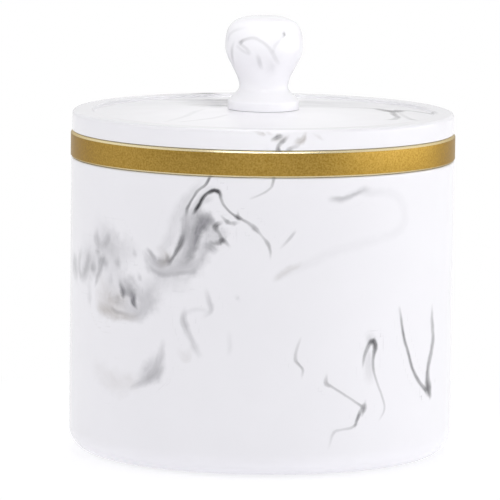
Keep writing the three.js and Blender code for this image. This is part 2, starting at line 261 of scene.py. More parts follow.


# Strokes, here and in the next tables. Most are pigment; the knob's shadow on the lid, the shade under the
# knob's bulb and two arcs on the lid are painted light. Their points, widths and inks were picked by eye on
# the photograph. A scratch script turned the places into millimetres through a fitted camera, and later
# passes scaled the widths and inks of some strokes.
# On the jar's wall, each point is millimetres to the right round the wall from the middle of the front,
# millimetres up from the ground, half width in millimetres, and ink from 0 to 1.
# Thin dark veins
WALL_VEINS = [
    [(-13.7, 76.9, 0.34, 0.78), (-14.5, 75.3, 0.32, 0.62), (-16.0, 74.2, 0.3, 0.5), (-16.9, 73.4, 0.34, 0.52),
     (-17.8, 72.0, 0.29, 0.54), (-18.7, 70.5, 0.29, 0.6), (-19.4, 69.1, 0.37, 0.7),
     (-19.7, 67.6, 0.32, 0.22)],
    [(-17.6, 68.0, 0.34, 0.48), (-17.0, 69.0, 0.41, 0.95), (-15.9, 70.7, 0.41, 0.95),
     (-15.2, 72.0, 0.39, 0.94), (-14.4, 72.9, 0.36, 0.94), (-13.5, 73.4, 0.39, 0.95),
     (-12.4, 73.9, 0.45, 0.95), (-11.4, 73.7, 0.45, 0.95), (-10.8, 73.1, 0.41, 0.74),
     (-10.6, 72.0, 0.34, 0.5), (-9.9, 70.4, 0.3, 0.48), (-8.7, 69.0, 0.27, 0.52), (-7.3, 67.9, 0.3, 0.54),
     (-6.0, 67.2, 0.48, 0.8), (-4.8, 66.6, 0.32, 0.46), (-2.8, 65.4, 0.41, 0.38), (-1.8, 64.5, 0.5, 0.5),
     (0.0, 62.6, 0.23, 0.28), (1.4, 60.9, 0.39, 0.44), (2.1, 59.0, 0.32, 0.34), (2.2, 57.2, 0.23, 0.1)],
    [(-6.1, 68.4, 0.25, 0.12), (-6.0, 67.6, 0.38, 0.48)],
    [(-20.3, 62.1, 0.42, 0.19), (-20.8, 60.9, 0.59, 0.48), (-21.3, 59.7, 0.59, 0.59),
     (-22.1, 58.3, 0.47, 0.58), (-22.9, 56.9, 0.42, 0.56), (-23.8, 55.7, 0.42, 0.53),
     (-24.3, 54.9, 0.47, 0.34)],
    [(-10.6, 65.7, 0.42, 0.24), (-11.3, 65.4, 0.53, 0.48), (-11.9, 64.7, 0.59, 0.63)],
    [(-11.9, 64.8, 0.59, 0.48), (-11.7, 64.0, 0.53, 0.53), (-11.0, 63.1, 0.36, 0.38),
     (-10.4, 62.0, 0.41, 0.43), (-10.1, 61.3, 0.59, 0.58)],
    [(-9.9, 61.4, 0.53, 0.48), (-10.8, 60.6, 0.59, 0.67), (-11.6, 60.3, 0.36, 0.34),
     (-12.8, 60.7, 0.36, 0.19)],
    [(-9.9, 61.4, 0.42, 0.48), (-9.1, 60.8, 0.42, 0.4), (-8.5, 60.1, 0.36, 0.19)],
    [(-10.3, 67.4, 0.25, 0.14), (-9.5, 66.6, 0.31, 0.36), (-8.8, 66.0, 0.53, 0.6), (-7.9, 65.7, 0.31, 0.36),
     (-7.2, 65.7, 0.44, 0.43), (-6.5, 65.9, 0.38, 0.18)],
    [(-30.7, 57.5, 0.38, 0.12), (-29.8, 56.6, 0.44, 0.18), (-28.8, 55.6, 0.44, 0.1)],
    [(-25.1, 56.5, 0.38, 0.18), (-24.9, 55.7, 0.5, 0.36), (-24.6, 55.1, 0.5, 0.24)],
    [(2.8, 77.0, 0.32, 0.46), (2.3, 75.1, 0.26, 0.32), (0.7, 73.8, 0.25, 0.28), (-1.1, 72.9, 0.23, 0.2),
     (-2.8, 72.2, 0.25, 0.1)],
    [(8.2, 63.5, 0.3, 0.22), (7.0, 61.9, 0.35, 0.28), (5.1, 59.9, 0.25, 0.08)],
    [(10.1, 36.1, 0.25, 0.1), (9.2, 33.5, 0.35, 0.22), (8.9, 31.1, 0.4, 0.3), (9.9, 29.7, 0.28, 0.38),
     (10.9, 28.4, 0.3, 0.32), (10.7, 26.8, 0.25, 0.1)],
    [(17.2, 26.8, 0.3, 0.1), (17.1, 24.7, 0.5, 0.42), (18.7, 23.8, 0.28, 0.34), (21.8, 21.8, 0.28, 0.32),
     (25.0, 19.8, 0.26, 0.33), (27.2, 18.4, 0.3, 0.4)],
    [(27.5, 28.6, 0.25, 0.15), (27.8, 31.0, 0.38, 0.45), (28.7, 33.2, 0.5, 0.5), (29.7, 34.6, 0.6, 0.62),
     (30.4, 34.9, 0.6, 0.7)],
    [(29.9, 34.8, 0.5, 0.36), (30.7, 34.7, 0.65, 0.77), (31.2, 33.3, 0.6, 0.79), (30.8, 31.2, 0.42, 0.61),
     (30.6, 28.5, 0.35, 0.45), (31.4, 25.5, 0.3, 0.32), (33.2, 21.5, 0.28, 0.27), (34.4, 18.6, 0.3, 0.25),
     (34.4, 16.5, 0.28, 0.22), (33.1, 14.6, 0.25, 0.07)],
    [(39.4, 42.6, 0.36, 0.15), (40.4, 38.2, 0.41, 0.56), (41.3, 34.6, 0.43, 0.62), (42.9, 31.0, 0.43, 0.62),
     (45.1, 26.1, 0.48, 0.62), (48.3, 22.4, 0.5, 0.62), (51.2, 20.2, 0.54, 0.62)],
    [(17.6, 71.8, 0.54, 0.06), (19.6, 71.9, 0.54, 0.17), (21.8, 72.1, 0.49, 0.18), (25.0, 73.0, 0.38, 0.14),
     (27.5, 73.9, 0.32, 0.06)],
    [(28.3, 19.4, 0.3, 0.15), (28.0, 18.0, 0.7, 0.68), (27.5, 16.7, 0.5, 0.5)],
    [(26.8, 17.2, 0.3, 0.3), (26.5, 16.2, 0.45, 0.66), (26.0, 14.9, 0.36, 0.62), (25.5, 13.6, 0.3, 0.5)],
    [(25.6, 13.6, 0.3, 0.35), (24.0, 12.9, 0.3, 0.26), (21.1, 12.6, 0.28, 0.2), (19.4, 12.1, 0.36, 0.2),
     (18.6, 10.1, 0.3, 0.13), (18.1, 8.4, 0.25, 0.05)],
    [(54.0, 41.5, 0.42, 0.12), (54.1, 38.1, 0.69, 0.42), (54.8, 33.4, 0.75, 0.5), (53.8, 29.8, 0.75, 0.53),
     (52.4, 26.6, 0.75, 0.57), (52.0, 23.3, 0.9, 0.65), (52.5, 20.6, 1.38, 0.81), (53.6, 18.6, 0.75, 0.59)],
]

# Soft grey plumes: the main one, the cloud at the left, the leaves under it, and small ones
WALL_PLUMES = [
    [(-13.8, 67.6, 1.0, 0.25), (-14.4, 66.3, 1.6, 0.55), (-15.4, 64.9, 1.7, 0.75), (-16.2, 63.5, 1.3, 0.75),
     (-16.7, 62.1, 1.0, 0.66), (-17.2, 60.4, 0.9, 0.58), (-17.8, 58.4, 0.9, 0.5), (-18.8, 56.6, 0.8, 0.42),
     (-19.7, 55.6, 0.7, 0.2)],
    [(-15.6, 71.8, 0.6, 0.12), (-16.6, 70.0, 0.9, 0.26), (-17.0, 68.2, 1.2, 0.34), (-16.9, 66.0, 1.6, 0.36),
     (-17.4, 63.4, 1.6, 0.32), (-18.2, 60.4, 1.5, 0.25), (-19.0, 57.6, 1.4, 0.16)],
    [(-15.9, 68.8, 0.8, 0.12), (-15.7, 67.9, 1.3, 0.3), (-15.1, 66.7, 1.6, 0.45), (-13.6, 66.4, 1.3, 0.5),
     (-12.4, 65.9, 0.8, 0.4), (-11.9, 65.5, 0.5, 0.2)],
    [(-19.6, 68.2, 0.6, 0.25), (-20.0, 66.3, 0.9, 0.28), (-20.1, 64.3, 1.0, 0.32), (-20.3, 62.5, 0.9, 0.4),
     (-20.8, 61.1, 0.8, 0.5), (-21.4, 59.7, 0.75, 0.5), (-22.5, 57.5, 0.6, 0.3)],
    [(-18.8, 67.9, 1.2, 0.15), (-18.9, 65.2, 1.6, 0.3), (-18.9, 62.2, 1.7, 0.36), (-19.1, 59.3, 1.7, 0.36),
     (-19.9, 56.9, 1.7, 0.32), (-21.0, 55.1, 1.6, 0.22)],
    [(-31.9, 56.8, 0.6, 0.12), (-30.7, 55.3, 1.2, 0.3), (-28.8, 53.7, 1.9, 0.36), (-26.2, 53.3, 2.1, 0.36),
     (-23.3, 53.6, 2.2, 0.34), (-20.5, 54.0, 2.3, 0.34), (-18.0, 54.6, 2.2, 0.36), (-16.2, 56.0, 1.8, 0.34),
     (-15.0, 57.9, 1.5, 0.32), (-14.0, 59.4, 1.0, 0.24)],
    [(-29.0, 52.3, 0.5, 0.14), (-26.7, 51.5, 0.6, 0.28), (-24.0, 51.8, 0.5, 0.22), (-20.7, 52.4, 0.5, 0.24),
     (-17.8, 52.8, 0.5, 0.2), (-15.9, 54.0, 0.5, 0.08)],
    [(-30.9, 57.6, 0.45, 0.2), (-30.0, 57.0, 0.5, 0.34), (-29.2, 56.1, 0.5, 0.34), (-28.3, 54.9, 0.6, 0.3),
     (-26.5, 54.8, 0.8, 0.34), (-24.6, 54.9, 0.6, 0.3)],
    [(-14.2, 59.7, 0.8, 0.2), (-13.2, 59.5, 1.0, 0.42), (-12.0, 58.7, 0.7, 0.36)],
    [(-15.1, 63.2, 1.2, 0.08), (-13.3, 63.8, 1.8, 0.24), (-11.5, 62.8, 1.8, 0.26), (-11.4, 61.1, 1.6, 0.2)],
    [(-11.6, 60.6, 1.2, 0.14), (-13.8, 60.5, 1.6, 0.24), (-15.9, 60.1, 1.4, 0.14), (-16.7, 58.5, 1.2, 0.06)],
    [(-15.8, 75.7, 0.7, 0.06), (-18.5, 72.7, 1.0, 0.16), (-20.4, 69.8, 1.3, 0.2), (-22.3, 66.6, 1.5, 0.14),
     (-23.4, 63.2, 1.5, 0.12), (-24.8, 59.8, 1.4, 0.16), (-26.9, 57.6, 1.2, 0.1)],
    [(-16.8, 69.5, 0.8, 0.08), (-15.3, 72.1, 0.9, 0.16), (-13.7, 73.7, 0.9, 0.16), (-11.8, 74.0, 0.8, 0.12),
     (-10.5, 72.6, 0.7, 0.05)],
    [(-14.9, 70.8, 0.6, 0.14), (-13.9, 71.4, 0.6, 0.2), (-12.5, 72.1, 0.5, 0.05)],
    [(-26.7, 50.6, 1.5, 0.1), (-23.5, 50.0, 2.4, 0.12), (-20.5, 50.6, 2.2, 0.1)],

    [(-50.7, 60.8, 0.7, 0.08), (-50.9, 59.4, 1.0, 0.26), (-50.5, 58.2, 1.2, 0.32), (-49.7, 57.3, 1.2, 0.3),
     (-48.6, 56.8, 1.0, 0.12)],
    [(-44.5, 61.3, 0.6, 0.06), (-45.2, 59.9, 0.8, 0.2), (-45.8, 58.7, 0.9, 0.26), (-46.9, 57.7, 1.0, 0.3),
     (-47.9, 57.0, 0.9, 0.16)],
    [(-50.2, 56.0, 0.8, 0.1), (-50.1, 55.2, 1.0, 0.42), (-50.1, 54.2, 0.8, 0.12)],
    [(-54.8, 54.7, 0.9, 0.1), (-55.4, 52.8, 1.3, 0.36), (-56.0, 51.2, 1.3, 0.38), (-56.9, 49.6, 1.3, 0.38),
     (-58.2, 48.3, 1.4, 0.36), (-60.6, 47.4, 1.0, 0.12)],
    [(-60.3, 54.4, 0.8, 0.1), (-61.5, 52.2, 0.9, 0.2), (-61.7, 50.2, 0.9, 0.24), (-61.2, 48.6, 1.0, 0.28),
     (-59.6, 47.8, 0.9, 0.1)],
    [(-52.4, 52.3, 0.9, 0.14), (-52.4, 50.7, 1.3, 0.48), (-51.9, 49.4, 0.9, 0.12)],
    [(-47.1, 54.6, 0.7, 0.1), (-47.8, 53.5, 1.2, 0.45), (-48.4, 52.4, 1.2, 0.5), (-48.8, 51.1, 0.9, 0.42),
     (-49.4, 49.9, 0.8, 0.4), (-50.4, 48.3, 0.7, 0.34), (-50.8, 47.4, 0.6, 0.32), (-51.4, 46.2, 0.4, 0.05)],
    [(-47.1, 53.9, 0.8, 0.2), (-46.2, 52.7, 0.9, 0.32), (-45.6, 51.4, 0.7, 0.1)],
    [(-41.5, 54.8, 0.7, 0.1), (-41.3, 53.2, 1.0, 0.36), (-41.4, 51.9, 0.7, 0.08)],
    [(-69.1, 52.1, 1.6, 0.1), (-67.1, 50.5, 2.2, 0.4), (-65.6, 49.1, 2.2, 0.44), (-64.7, 47.5, 1.8, 0.34),
     (-64.1, 45.9, 1.2, 0.06)],
    [(-54.3, 47.1, 0.8, 0.03), (-54.4, 44.3, 1.0, 0.12), (-54.4, 42.1, 1.0, 0.16), (-54.6, 41.1, 0.8, 0.03)],
    [(-44.5, 49.9, 0.9, 0.06), (-44.1, 48.3, 1.0, 0.16), (-43.9, 47.0, 0.8, 0.04)],
    [(-50.6, 62.4, 3.0, 0.04), (-47.6, 59.6, 3.6, 0.16), (-44.9, 56.5, 4.0, 0.22), (-43.2, 53.3, 3.8, 0.18),
     (-43.2, 50.0, 3.6, 0.16), (-43.9, 46.5, 3.0, 0.14), (-45.6, 43.8, 2.4, 0.04)],
    [(-58.1, 56.3, 2.4, 0.06), (-51.5, 56.1, 2.8, 0.1), (-45.4, 57.2, 3.0, 0.12), (-39.8, 57.3, 2.8, 0.14),
     (-36.2, 57.1, 2.2, 0.12), (-34.1, 57.0, 1.6, 0.03)],
    [(-62.0, 51.5, 2.4, 0.1), (-57.5, 51.0, 3.0, 0.2), (-53.0, 51.5, 3.0, 0.24), (-49.5, 50.5, 2.4, 0.16)],

    [(-40.4, 48.7, 0.5, 0.2), (-39.9, 47.4, 0.7, 0.6), (-39.3, 46.0, 0.9, 0.85), (-39.3, 44.9, 0.6, 0.6),
     (-39.2, 44.2, 0.3, 0.1)],
    [(-36.9, 47.4, 0.8, 0.3), (-36.3, 46.3, 1.1, 0.46), (-35.8, 45.0, 1.0, 0.85), (-35.5, 43.9, 0.8, 0.95),
     (-35.0, 43.0, 0.6, 0.8), (-34.2, 42.1, 0.3, 0.15)],
    [(-39.3, 45.6, 0.8, 0.36), (-37.8, 46.0, 0.9, 0.4), (-36.4, 45.6, 0.8, 0.32)],
    [(-39.9, 48.7, 1.6, 0.2), (-38.0, 48.1, 2.4, 0.36), (-36.0, 47.0, 2.0, 0.32), (-34.5, 45.8, 1.6, 0.18)],
    [(-34.3, 46.0, 1.6, 0.18), (-32.5, 44.5, 2.4, 0.32), (-32.3, 42.7, 2.2, 0.3), (-33.1, 41.2, 1.6, 0.3),
     (-35.5, 40.3, 1.3, 0.26), (-37.7, 40.2, 1.0, 0.2)],
    [(-44.1, 41.5, 0.4, 0.1), (-43.1, 41.0, 0.5, 0.36), (-41.5, 40.7, 0.5, 0.4), (-39.8, 40.6, 0.5, 0.34),
     (-37.9, 40.4, 0.5, 0.12)],
    [(-43.0, 44.0, 0.8, 0.12), (-41.3, 43.7, 1.0, 0.3), (-39.6, 43.5, 0.8, 0.14)],
    [(-33.7, 48.9, 1.8, 0.05), (-31.1, 47.5, 2.2, 0.14), (-29.8, 45.1, 2.2, 0.15), (-31.0, 42.7, 2.0, 0.14),
     (-33.2, 41.2, 1.6, 0.06)],
    [(-40.0, 43.6, 1.2, 0.06), (-38.1, 43.0, 1.6, 0.22), (-36.0, 42.2, 1.6, 0.22), (-33.9, 41.6, 1.2, 0.08)],
    [(-26.2, 50.8, 1.6, 0.05), (-27.7, 49.1, 2.2, 0.14), (-28.6, 47.0, 2.2, 0.14), (-30.4, 45.0, 2.0, 0.08)],

    [(-34.0, 51.3, 0.4, 0.06), (-33.3, 50.1, 0.6, 0.26), (-32.8, 49.6, 0.3, 0.05)],
    [(-35.4, 57.4, 0.4, 0.05), (-35.2, 56.4, 0.6, 0.26), (-35.1, 55.4, 0.4, 0.06)],
    [(-14.1, 48.4, 0.5, 0.06), (-13.4, 45.9, 0.6, 0.26), (-12.8, 44.0, 0.6, 0.3), (-13.1, 42.7, 0.5, 0.16),
     (-14.4, 41.7, 0.5, 0.05)],
    [(-19.9, 43.0, 0.5, 0.1), (-20.2, 41.1, 0.7, 0.34), (-19.8, 39.2, 0.8, 0.4), (-18.7, 36.7, 0.7, 0.3),
     (-17.3, 34.2, 0.7, 0.24), (-15.9, 31.7, 0.7, 0.1)],
    [(-19.7, 42.0, 0.5, 0.08), (-17.7, 43.1, 0.5, 0.1), (-15.4, 43.4, 0.5, 0.09), (-13.4, 42.9, 0.5, 0.06)],
    [(-8.1, 37.8, 0.5, 0.03), (-7.8, 34.0, 0.6, 0.1), (-8.1, 32.1, 0.5, 0.03)],
    [(-6.1, 47.1, 0.4, 0.05), (-5.9, 46.7, 0.5, 0.16), (-5.6, 46.2, 0.4, 0.05)],
    [(-26.0, 34.5, 0.5, 0.08), (-26.4, 31.6, 0.9, 0.24), (-27.0, 28.3, 1.2, 0.34), (-27.9, 25.7, 1.3, 0.36),
     (-30.2, 24.2, 1.1, 0.34), (-33.0, 23.0, 0.8, 0.3), (-36.0, 21.7, 0.5, 0.12)],
    [(-28.2, 30.0, 1.4, 0.14), (-29.0, 27.8, 1.8, 0.3), (-30.4, 26.0, 1.9, 0.34), (-32.6, 24.8, 1.4, 0.18)],
    [(29.0, 31.8, 0.9, 0.14), (29.2, 28.5, 1.2, 0.18), (29.6, 24.6, 1.0, 0.06)],
    [(29.2, 37.0, 0.9, 0.06), (30.0, 35.4, 1.1, 0.3)],
    [(18.0, 71.8, 0.6, 0.1), (20.6, 71.6, 0.7, 0.24), (23.4, 72.4, 0.7, 0.2), (26.0, 73.6, 0.7, 0.24),
     (29.0, 74.2, 0.6, 0.06)],
    [(27.4, 73.3, 0.8, 0.1), (37.1, 72.0, 1.1, 0.05), (40.9, 66.6, 1.2, 0.05), (37.3, 62.2, 1.1, 0.05),
     (20.4, 58.8, 1.1, 0.04), (4.0, 52.2, 0.8, 0.06)],
]

# Warm brown-grey washes
WALL_WASHES = [
    [(-48.5, 47.5, 2.6, 0.1), (-47.2, 45.1, 4.0, 0.2), (-46.1, 42.8, 4.5, 0.3), (-42.6, 42.7, 4.0, 0.3),
     (-39.9, 42.7, 3.0, 0.3)],
    [(-49.0, 41.0, 1.6, 0.2), (-46.0, 40.5, 1.6, 0.3), (-43.1, 39.7, 1.6, 0.36), (-41.3, 39.4, 1.2, 0.3),
     (-38.9, 39.8, 1.2, 0.3), (-36.4, 39.7, 1.2, 0.28), (-34.0, 40.1, 1.2, 0.1)],
    [(-49.7, 24.6, 3.0, 0.08), (-42.0, 22.3, 3.5, 0.12), (-35.6, 23.0, 2.5, 0.12)],
    [(-21.1, 32.0, 1.2, 0.06), (-19.3, 30.5, 1.2, 0.14), (-18.3, 32.8, 1.0, 0.05)],
    [(-26.6, 57.8, 1.2, 0.1), (-25.4, 56.0, 1.6, 0.3), (-26.8, 54.4, 1.4, 0.2)],
    [(9.2, 55.1, 0.8, 0.12), (6.7, 54.0, 0.9, 0.18), (4.0, 52.0, 0.8, 0.14)],
]

# Strokes round the lid's upright edge, given as on the jar's wall
EDGE_VEINS = [
    [(2.9, 87.4, 0.4, 0.5), (3.6, 87.8, 0.55, 0.62), (4.6, 88.1, 0.45, 0.4), (5.0, 88.1, 0.3, 0.1)],
    [(6.0, 87.6, 0.3, 0.15), (5.4, 87.0, 0.5, 0.5), (4.9, 86.6, 0.5, 0.55), (4.2, 86.1, 0.35, 0.4),
     (3.8, 85.5, 0.35, 0.5), (3.8, 84.8, 0.45, 0.62), (4.0, 84.2, 0.45, 0.66)],
    [(8.6, 85.5, 0.4, 0.2), (7.5, 85.1, 0.4, 0.26), (6.7, 84.6, 0.5, 0.45), (6.3, 84.2, 0.5, 0.4)],
]
EDGE_WASHES = [
    [(-2.5, 89.5, 0.4, 0.05), (-1.2, 88.8, 0.5, 0.2), (0.1, 88.5, 0.6, 0.32), (0.5, 88.4, 0.3, 0.08)],
    [(1.4, 88.8, 0.5, 0.25), (2.0, 88.5, 0.4, 0.1)],
    [(10.7, 88.5, 0.5, 0.2), (10.4, 87.6, 0.8, 0.42), (10.0, 86.9, 1.0, 0.5), (8.9, 86.6, 1.1, 0.42),
     (8.4, 86.2, 0.8, 0.16)],
    [(13.2, 88.4, 0.4, 0.06), (14.5, 87.6, 0.5, 0.14), (15.3, 87.1, 0.4, 0.05)],
    [(3.1, 87.0, 0.6, 0.24), (4.2, 87.0, 0.7, 0.24), (5.6, 87.6, 0.6, 0.16)],
]

# Strokes across the lid's top. Each point is millimetres right, millimetres back, half width and ink.
TOP_VEINS_AND_REFLECTION_ARCS = [
    [(20.6, 8.4, 0.8, 0.08), (25.3, 9.8, 0.9, 0.24), (29.3, 9.8, 1.0, 0.45), (31.1, 7.2, 1.3, 0.75),
     (32.8, 5.3, 1.7, 0.95), (33.7, 3.9, 1.7, 0.95), (34.9, 5.5, 1.5, 0.8), (35.6, 7.8, 1.2, 0.75),
     (37.1, 8.2, 1.0, 0.58), (39.2, 8.2, 0.9, 0.4), (41.3, 6.3, 0.9, 0.36), (43.1, 4.4, 0.8, 0.38),
     (44.4, 2.4, 0.7, 0.32), (45.2, -4.6, 0.5, 0.08)],
    [(33.5, 5.3, 0.7, 0.75), (33.9, -1.7, 0.7, 0.66), (34.5, -7.3, 0.7, 0.6), (34.8, -10.0, 0.6, 0.55)],
    [(34.8, -10.0, 0.7, 0.45), (34.2, -14.3, 0.8, 0.42), (33.0, -15.8, 0.8, 0.32), (32.0, -16.6, 0.7, 0.1)],
    [(35.3, 2.7, 0.5, 0.16), (36.4, -4.9, 0.6, 0.2), (37.6, -11.1, 0.7, 0.26), (38.7, -13.8, 0.8, 0.32),
     (39.8, -14.3, 0.6, 0.14)],
    [(-18.8, 44.6, 1.0, 0.5), (-15.4, 44.8, 1.5, 0.95), (-12.6, 44.4, 1.0, 0.45)],
    # The next two strokes are faint dark arcs that trace the edge of the knob foot's reflection in the lid:
    # painted reflection
    [(-20.6, -28.3, 0.6, 0.1), (-16.3, -25.2, 0.7, 0.12), (-12.4, -21.2, 0.7, 0.12),
     (-9.4, -15.0, 0.6, 0.12)],
    [(-25.0, -28.0, 0.6, 0.06), (-20.4, -18.5, 0.7, 0.1), (-17.8, -8.0, 0.7, 0.1), (-15.7, -2.0, 0.6, 0.08)],
]

# Painted shadow of the knob on the lid: a grey cloud behind the knob, darkest at its left, and its wisp on
# the far border, drawn with the plume brush in the smoke colour
KNOB_SHADOW_ON_LID = [
    [(-28.0, 32.0, 2.6, 0.05), (-21.0, 29.5, 3.8, 0.26), (-15.0, 27.5, 4.6, 0.55), (-10.0, 26.5, 4.8, 0.6),
     (-3.0, 26.0, 4.4, 0.3), (6.0, 25.5, 4.2, 0.14), (12.0, 25.0, 4.4, 0.18), (19.0, 26.0, 4.4, 0.13),
     (27.0, 28.0, 3.0, 0.04)],
    [(-23.0, 20.5, 2.6, 0.05), (-16.5, 18.5, 4.0, 0.36), (-11.0, 17.0, 4.4, 0.6), (-5.0, 15.5, 4.0, 0.34),
     (4.0, 15.5, 4.0, 0.16), (10.0, 16.0, 4.2, 0.19), (15.0, 17.0, 4.4, 0.19), (21.0, 18.5, 4.2, 0.11),
     (28.0, 21.0, 3.0, 0.04)],
    [(-21.0, 13.0, 2.2, 0.05), (-15.0, 10.0, 3.2, 0.45), (-10.5, 8.0, 3.4, 0.75), (-5.0, 9.5, 3.0, 0.3),
     (5.0, 9.5, 3.0, 0.18), (11.0, 9.5, 3.0, 0.18), (16.0, 10.0, 3.2, 0.15), (22.0, 12.0, 3.2, 0.09),
     (30.0, 16.0, 2.6, 0.03)],
    [(-29.0, 37.0, 1.6, 0.04), (-23.5, 40.5, 2.4, 0.2), (-18.0, 42.0, 2.4, 0.22), (-13.0, 41.5, 1.8, 0.04)],
]

# Strokes on the knob. Each point is millimetres right as seen from the front, height, half width and ink.
KNOB_VEINS = [
    [(-6.1, 108.0, 0.5, 0.45), (-5.0, 108.8, 0.35, 0.22), (-2.7, 109.3, 0.35, 0.15),
     (-0.8, 108.5, 0.35, 0.15), (0.9, 107.2, 0.4, 0.15), (2.2, 105.6, 0.45, 0.15), (3.0, 103.9, 0.45, 0.12),
     (3.8, 102.6, 0.4, 0.05)],
    [(5.1, 110.6, 0.3, 0.2), (5.1, 110.2, 0.45, 0.5), (5.0, 109.8, 0.3, 0.2)],
    [(4.6, 109.4, 0.25, 0.05), (3.8, 108.5, 0.3, 0.08), (2.8, 107.4, 0.35, 0.09), (2.4, 105.9, 0.35, 0.05)],
    [(-5.8, 107.3, 0.35, 0.16), (-4.6, 106.4, 0.4, 0.14), (-3.8, 105.5, 0.45, 0.1)],
    [(-6.9, 106.8, 0.35, 0.1), (-5.6, 105.8, 0.35, 0.13), (-4.2, 105.2, 0.35, 0.08)],
    [(-1.7, 104.9, 0.4, 0.06), (-1.4, 103.9, 0.5, 0.16), (-1.1, 102.7, 0.5, 0.18), (-0.6, 101.4, 0.4, 0.06)],
    [(-7.9, 107.8, 0.4, 0.05), (-8.3, 106.1, 0.5, 0.18), (-8.3, 104.1, 0.5, 0.2), (-7.8, 101.7, 0.4, 0.08)],
    [(-9.4, 108.3, 0.4, 0.08), (-8.9, 109.8, 0.4, 0.1), (-7.3, 111.0, 0.4, 0.09), (-5.0, 111.8, 0.35, 0.03)],
]
# The knob's plumes: a faint plume, then a painted shade under the knob's bulb, a wide faint grey haze below
# the arch
KNOB_PLUMES_AND_SHADE = [
    [(1.6, 102.9, 0.8, 0.05), (1.9, 101.6, 1.0, 0.09), (2.0, 99.9, 0.9, 0.03)],
    [(-4.0, 105.0, 2.0, 0.03), (0.5, 103.5, 3.0, 0.06), (2.5, 101.5, 2.5, 0.04)],
]

# Three ways that pigment lies in the resin. Strokes that come close lie in different layers. A stroke is full
# from its core, and gone at its edge, both in half widths. Its edge strays by the fray, in half widths, and
# its ink varies along drawn-out lanes from the thinnest to the thickest share.
Brush = namedtuple("Brush", "layers core edge fray thinnest thickest")
BRUSHES = {
    # The plume brush also draws the painted shadow of the knob on the lid and the painted shade under the
    # knob's bulb
    "plume": Brush(layers=12, core=0.1, edge=2.0, fray=1.6, thinnest=0.8, thickest=1.3),
    "wash": Brush(layers=4, core=0.1, edge=1.4, fray=1.0, thinnest=0.7, thickest=1.3),
    # The vein brush also draws two faint arcs on the lid that are a painted reflection of the knob's foot
    "vein": Brush(layers=6, core=0.3, edge=1.9, fray=1.0, thinnest=0.8, thickest=1.2),
}

# Strokes: spacing of their points, how far past their edges they are stored, the last stretch of that, in
# which their ink fades, how much further than their half width they go on past their ends, and the least half
# width that they are drawn with
ROUTE_STEP = 0.25 * MM
STROKE_MARGIN = 1.5 * MM
STROKE_FADE = 0.8 * MM
END_MARGIN = 0.4 * MM
FINEST_HALF = 0.05 * MM

# How deep a stroke reaches, so that it doesn't show on the far side of a wall
STROKE_DEPTH = 2.5 * MM

# Lanes that ink varies in: one in 5 mm along a stroke, and one in about 0.8 half widths across it
LANE_SCALE = (0.2, 1.2, 0.0)

# The strokes go round the jar twice: as given on the front, and turned and mirrored on the back
REPEATS = ((1, 0.0), (-1, math.pi))


# Outlines of turned pieces

def fillet_arc(before, corner, after, radius, steps):
    """The arc that rounds a corner between two walls, which limit its radius."""
    back = before - corner
    ahead = after - corner
    half = back.angle(ahead) / 2
    wall = min(back.length, ahead.length) * FILLET_WALL_SHARE
    fitted = min(radius, wall * math.tan(half))
    centre = corner + (back.normalized() + ahead.normalized()).normalized() * (fitted / math.sin(half))
    start = corner + back.normalized() * (fitted / math.tan(half)) - centre
    cross = ahead.x * back.y - ahead.y * back.x
    turn = math.copysign(math.pi - 2 * half, cross)
    angles = [turn * step / steps for step in range(steps + 1)]
    return [centre + Vector((start.x * math.cos(a) - start.y * math.sin(a),
                             start.x * math.sin(a) + start.y * math.cos(a))) for a in angles]


def outline(corners, closed=False):
    """A profile of radius and height from its corners, each with an optional fillet and its steps."""
    places = [Vector(corner[:2]) for corner in corners]
    count = len(corners)
    points = []
    for index, corner in enumerate(corners):
        is_end = not closed and index in (0, count - 1)
        fillet = corner[2] if len(corner) > 2 else 0.0
        steps = corner[3] if len(corner) > 3 else FILLET_STEPS
        if is_end or fillet == 0.0:
            points.append(places[index])
            continue
        points += fillet_arc(places[index - 1], places[index], places[(index + 1) % count], fillet, steps)
    return points


def spaced(points, step_at, closed=False):
    """The profile with points added, so that no stretch is longer than the step for its middle."""
    ends = points[1:] + points[:1] if closed else points[1:]
    filled = []
    for start, end in zip(points, ends):
        parts = max(1, math.ceil((end - start).length / step_at((start + end) / 2)))
        filled += [start.lerp(end, part / parts) for part in range(parts)]
    return filled if closed else filled + [points[-1]]


def bezier(start, first, second, end, steps):
    """Points along a cubic curve, without its start."""
    places = [Vector(p) for p in (start, first, second, end)]
    points = []
    for step in range(1, steps + 1):
        t = step / steps
        weights = ((1 - t) ** 3, 3 * t * (1 - t) ** 2, 3 * t * t * (1 - t), t ** 3)
        points.append(sum((w * p for w, p in zip(weights, places)), Vector((0.0, 0.0))))
    return points


def turned(name, profile, segments, closed=False, shape=None):
    """A smooth mesh turned about the axis. shape may change a point's radius by its angle and height."""
    rings = []
    vertices = []
    for point in profile:
        if point.x < AXIS_REACH:
            rings.append([len(vertices)])
            vertices.append((0.0, 0.0, point.y))
            continue
        rings.append(list(range(len(vertices), len(vertices) + segments)))
        for segment in range(segments):
            angle = 2 * math.pi * segment / segments
            radius = shape(point.x, angle, point.y) if shape else point.x
            vertices.append((radius * math.sin(angle), -radius * math.cos(angle), point.y))
    faces = []
    pairs = zip(rings, rings[1:] + rings[:1]) if closed else zip(rings, rings[1:])
    for low, high in pairs:
        for segment in range(segments):
            after = (segment + 1) % segments
            corners = [low[segment % len(low)], low[after % len(low)],
                       high[after % len(high)], high[segment % len(high)]]
            faces.append(list(dict.fromkeys(corners)))
    mesh = bpy.data.meshes.new(name)
    mesh.from_pydata(vertices, [], faces)
    mesh.validate()
    return placed(name, mesh)


def placed(name, mesh):
    """A new object with a smooth mesh, sharp only at real corners."""
    mesh.shade_smooth()
    mesh.set_sharp_from_angle(angle=SHARP_ANGLE)
    piece = bpy.data.objects.new(name, mesh)
    bpy.context.scene.collection.objects.link(piece)
    return piece


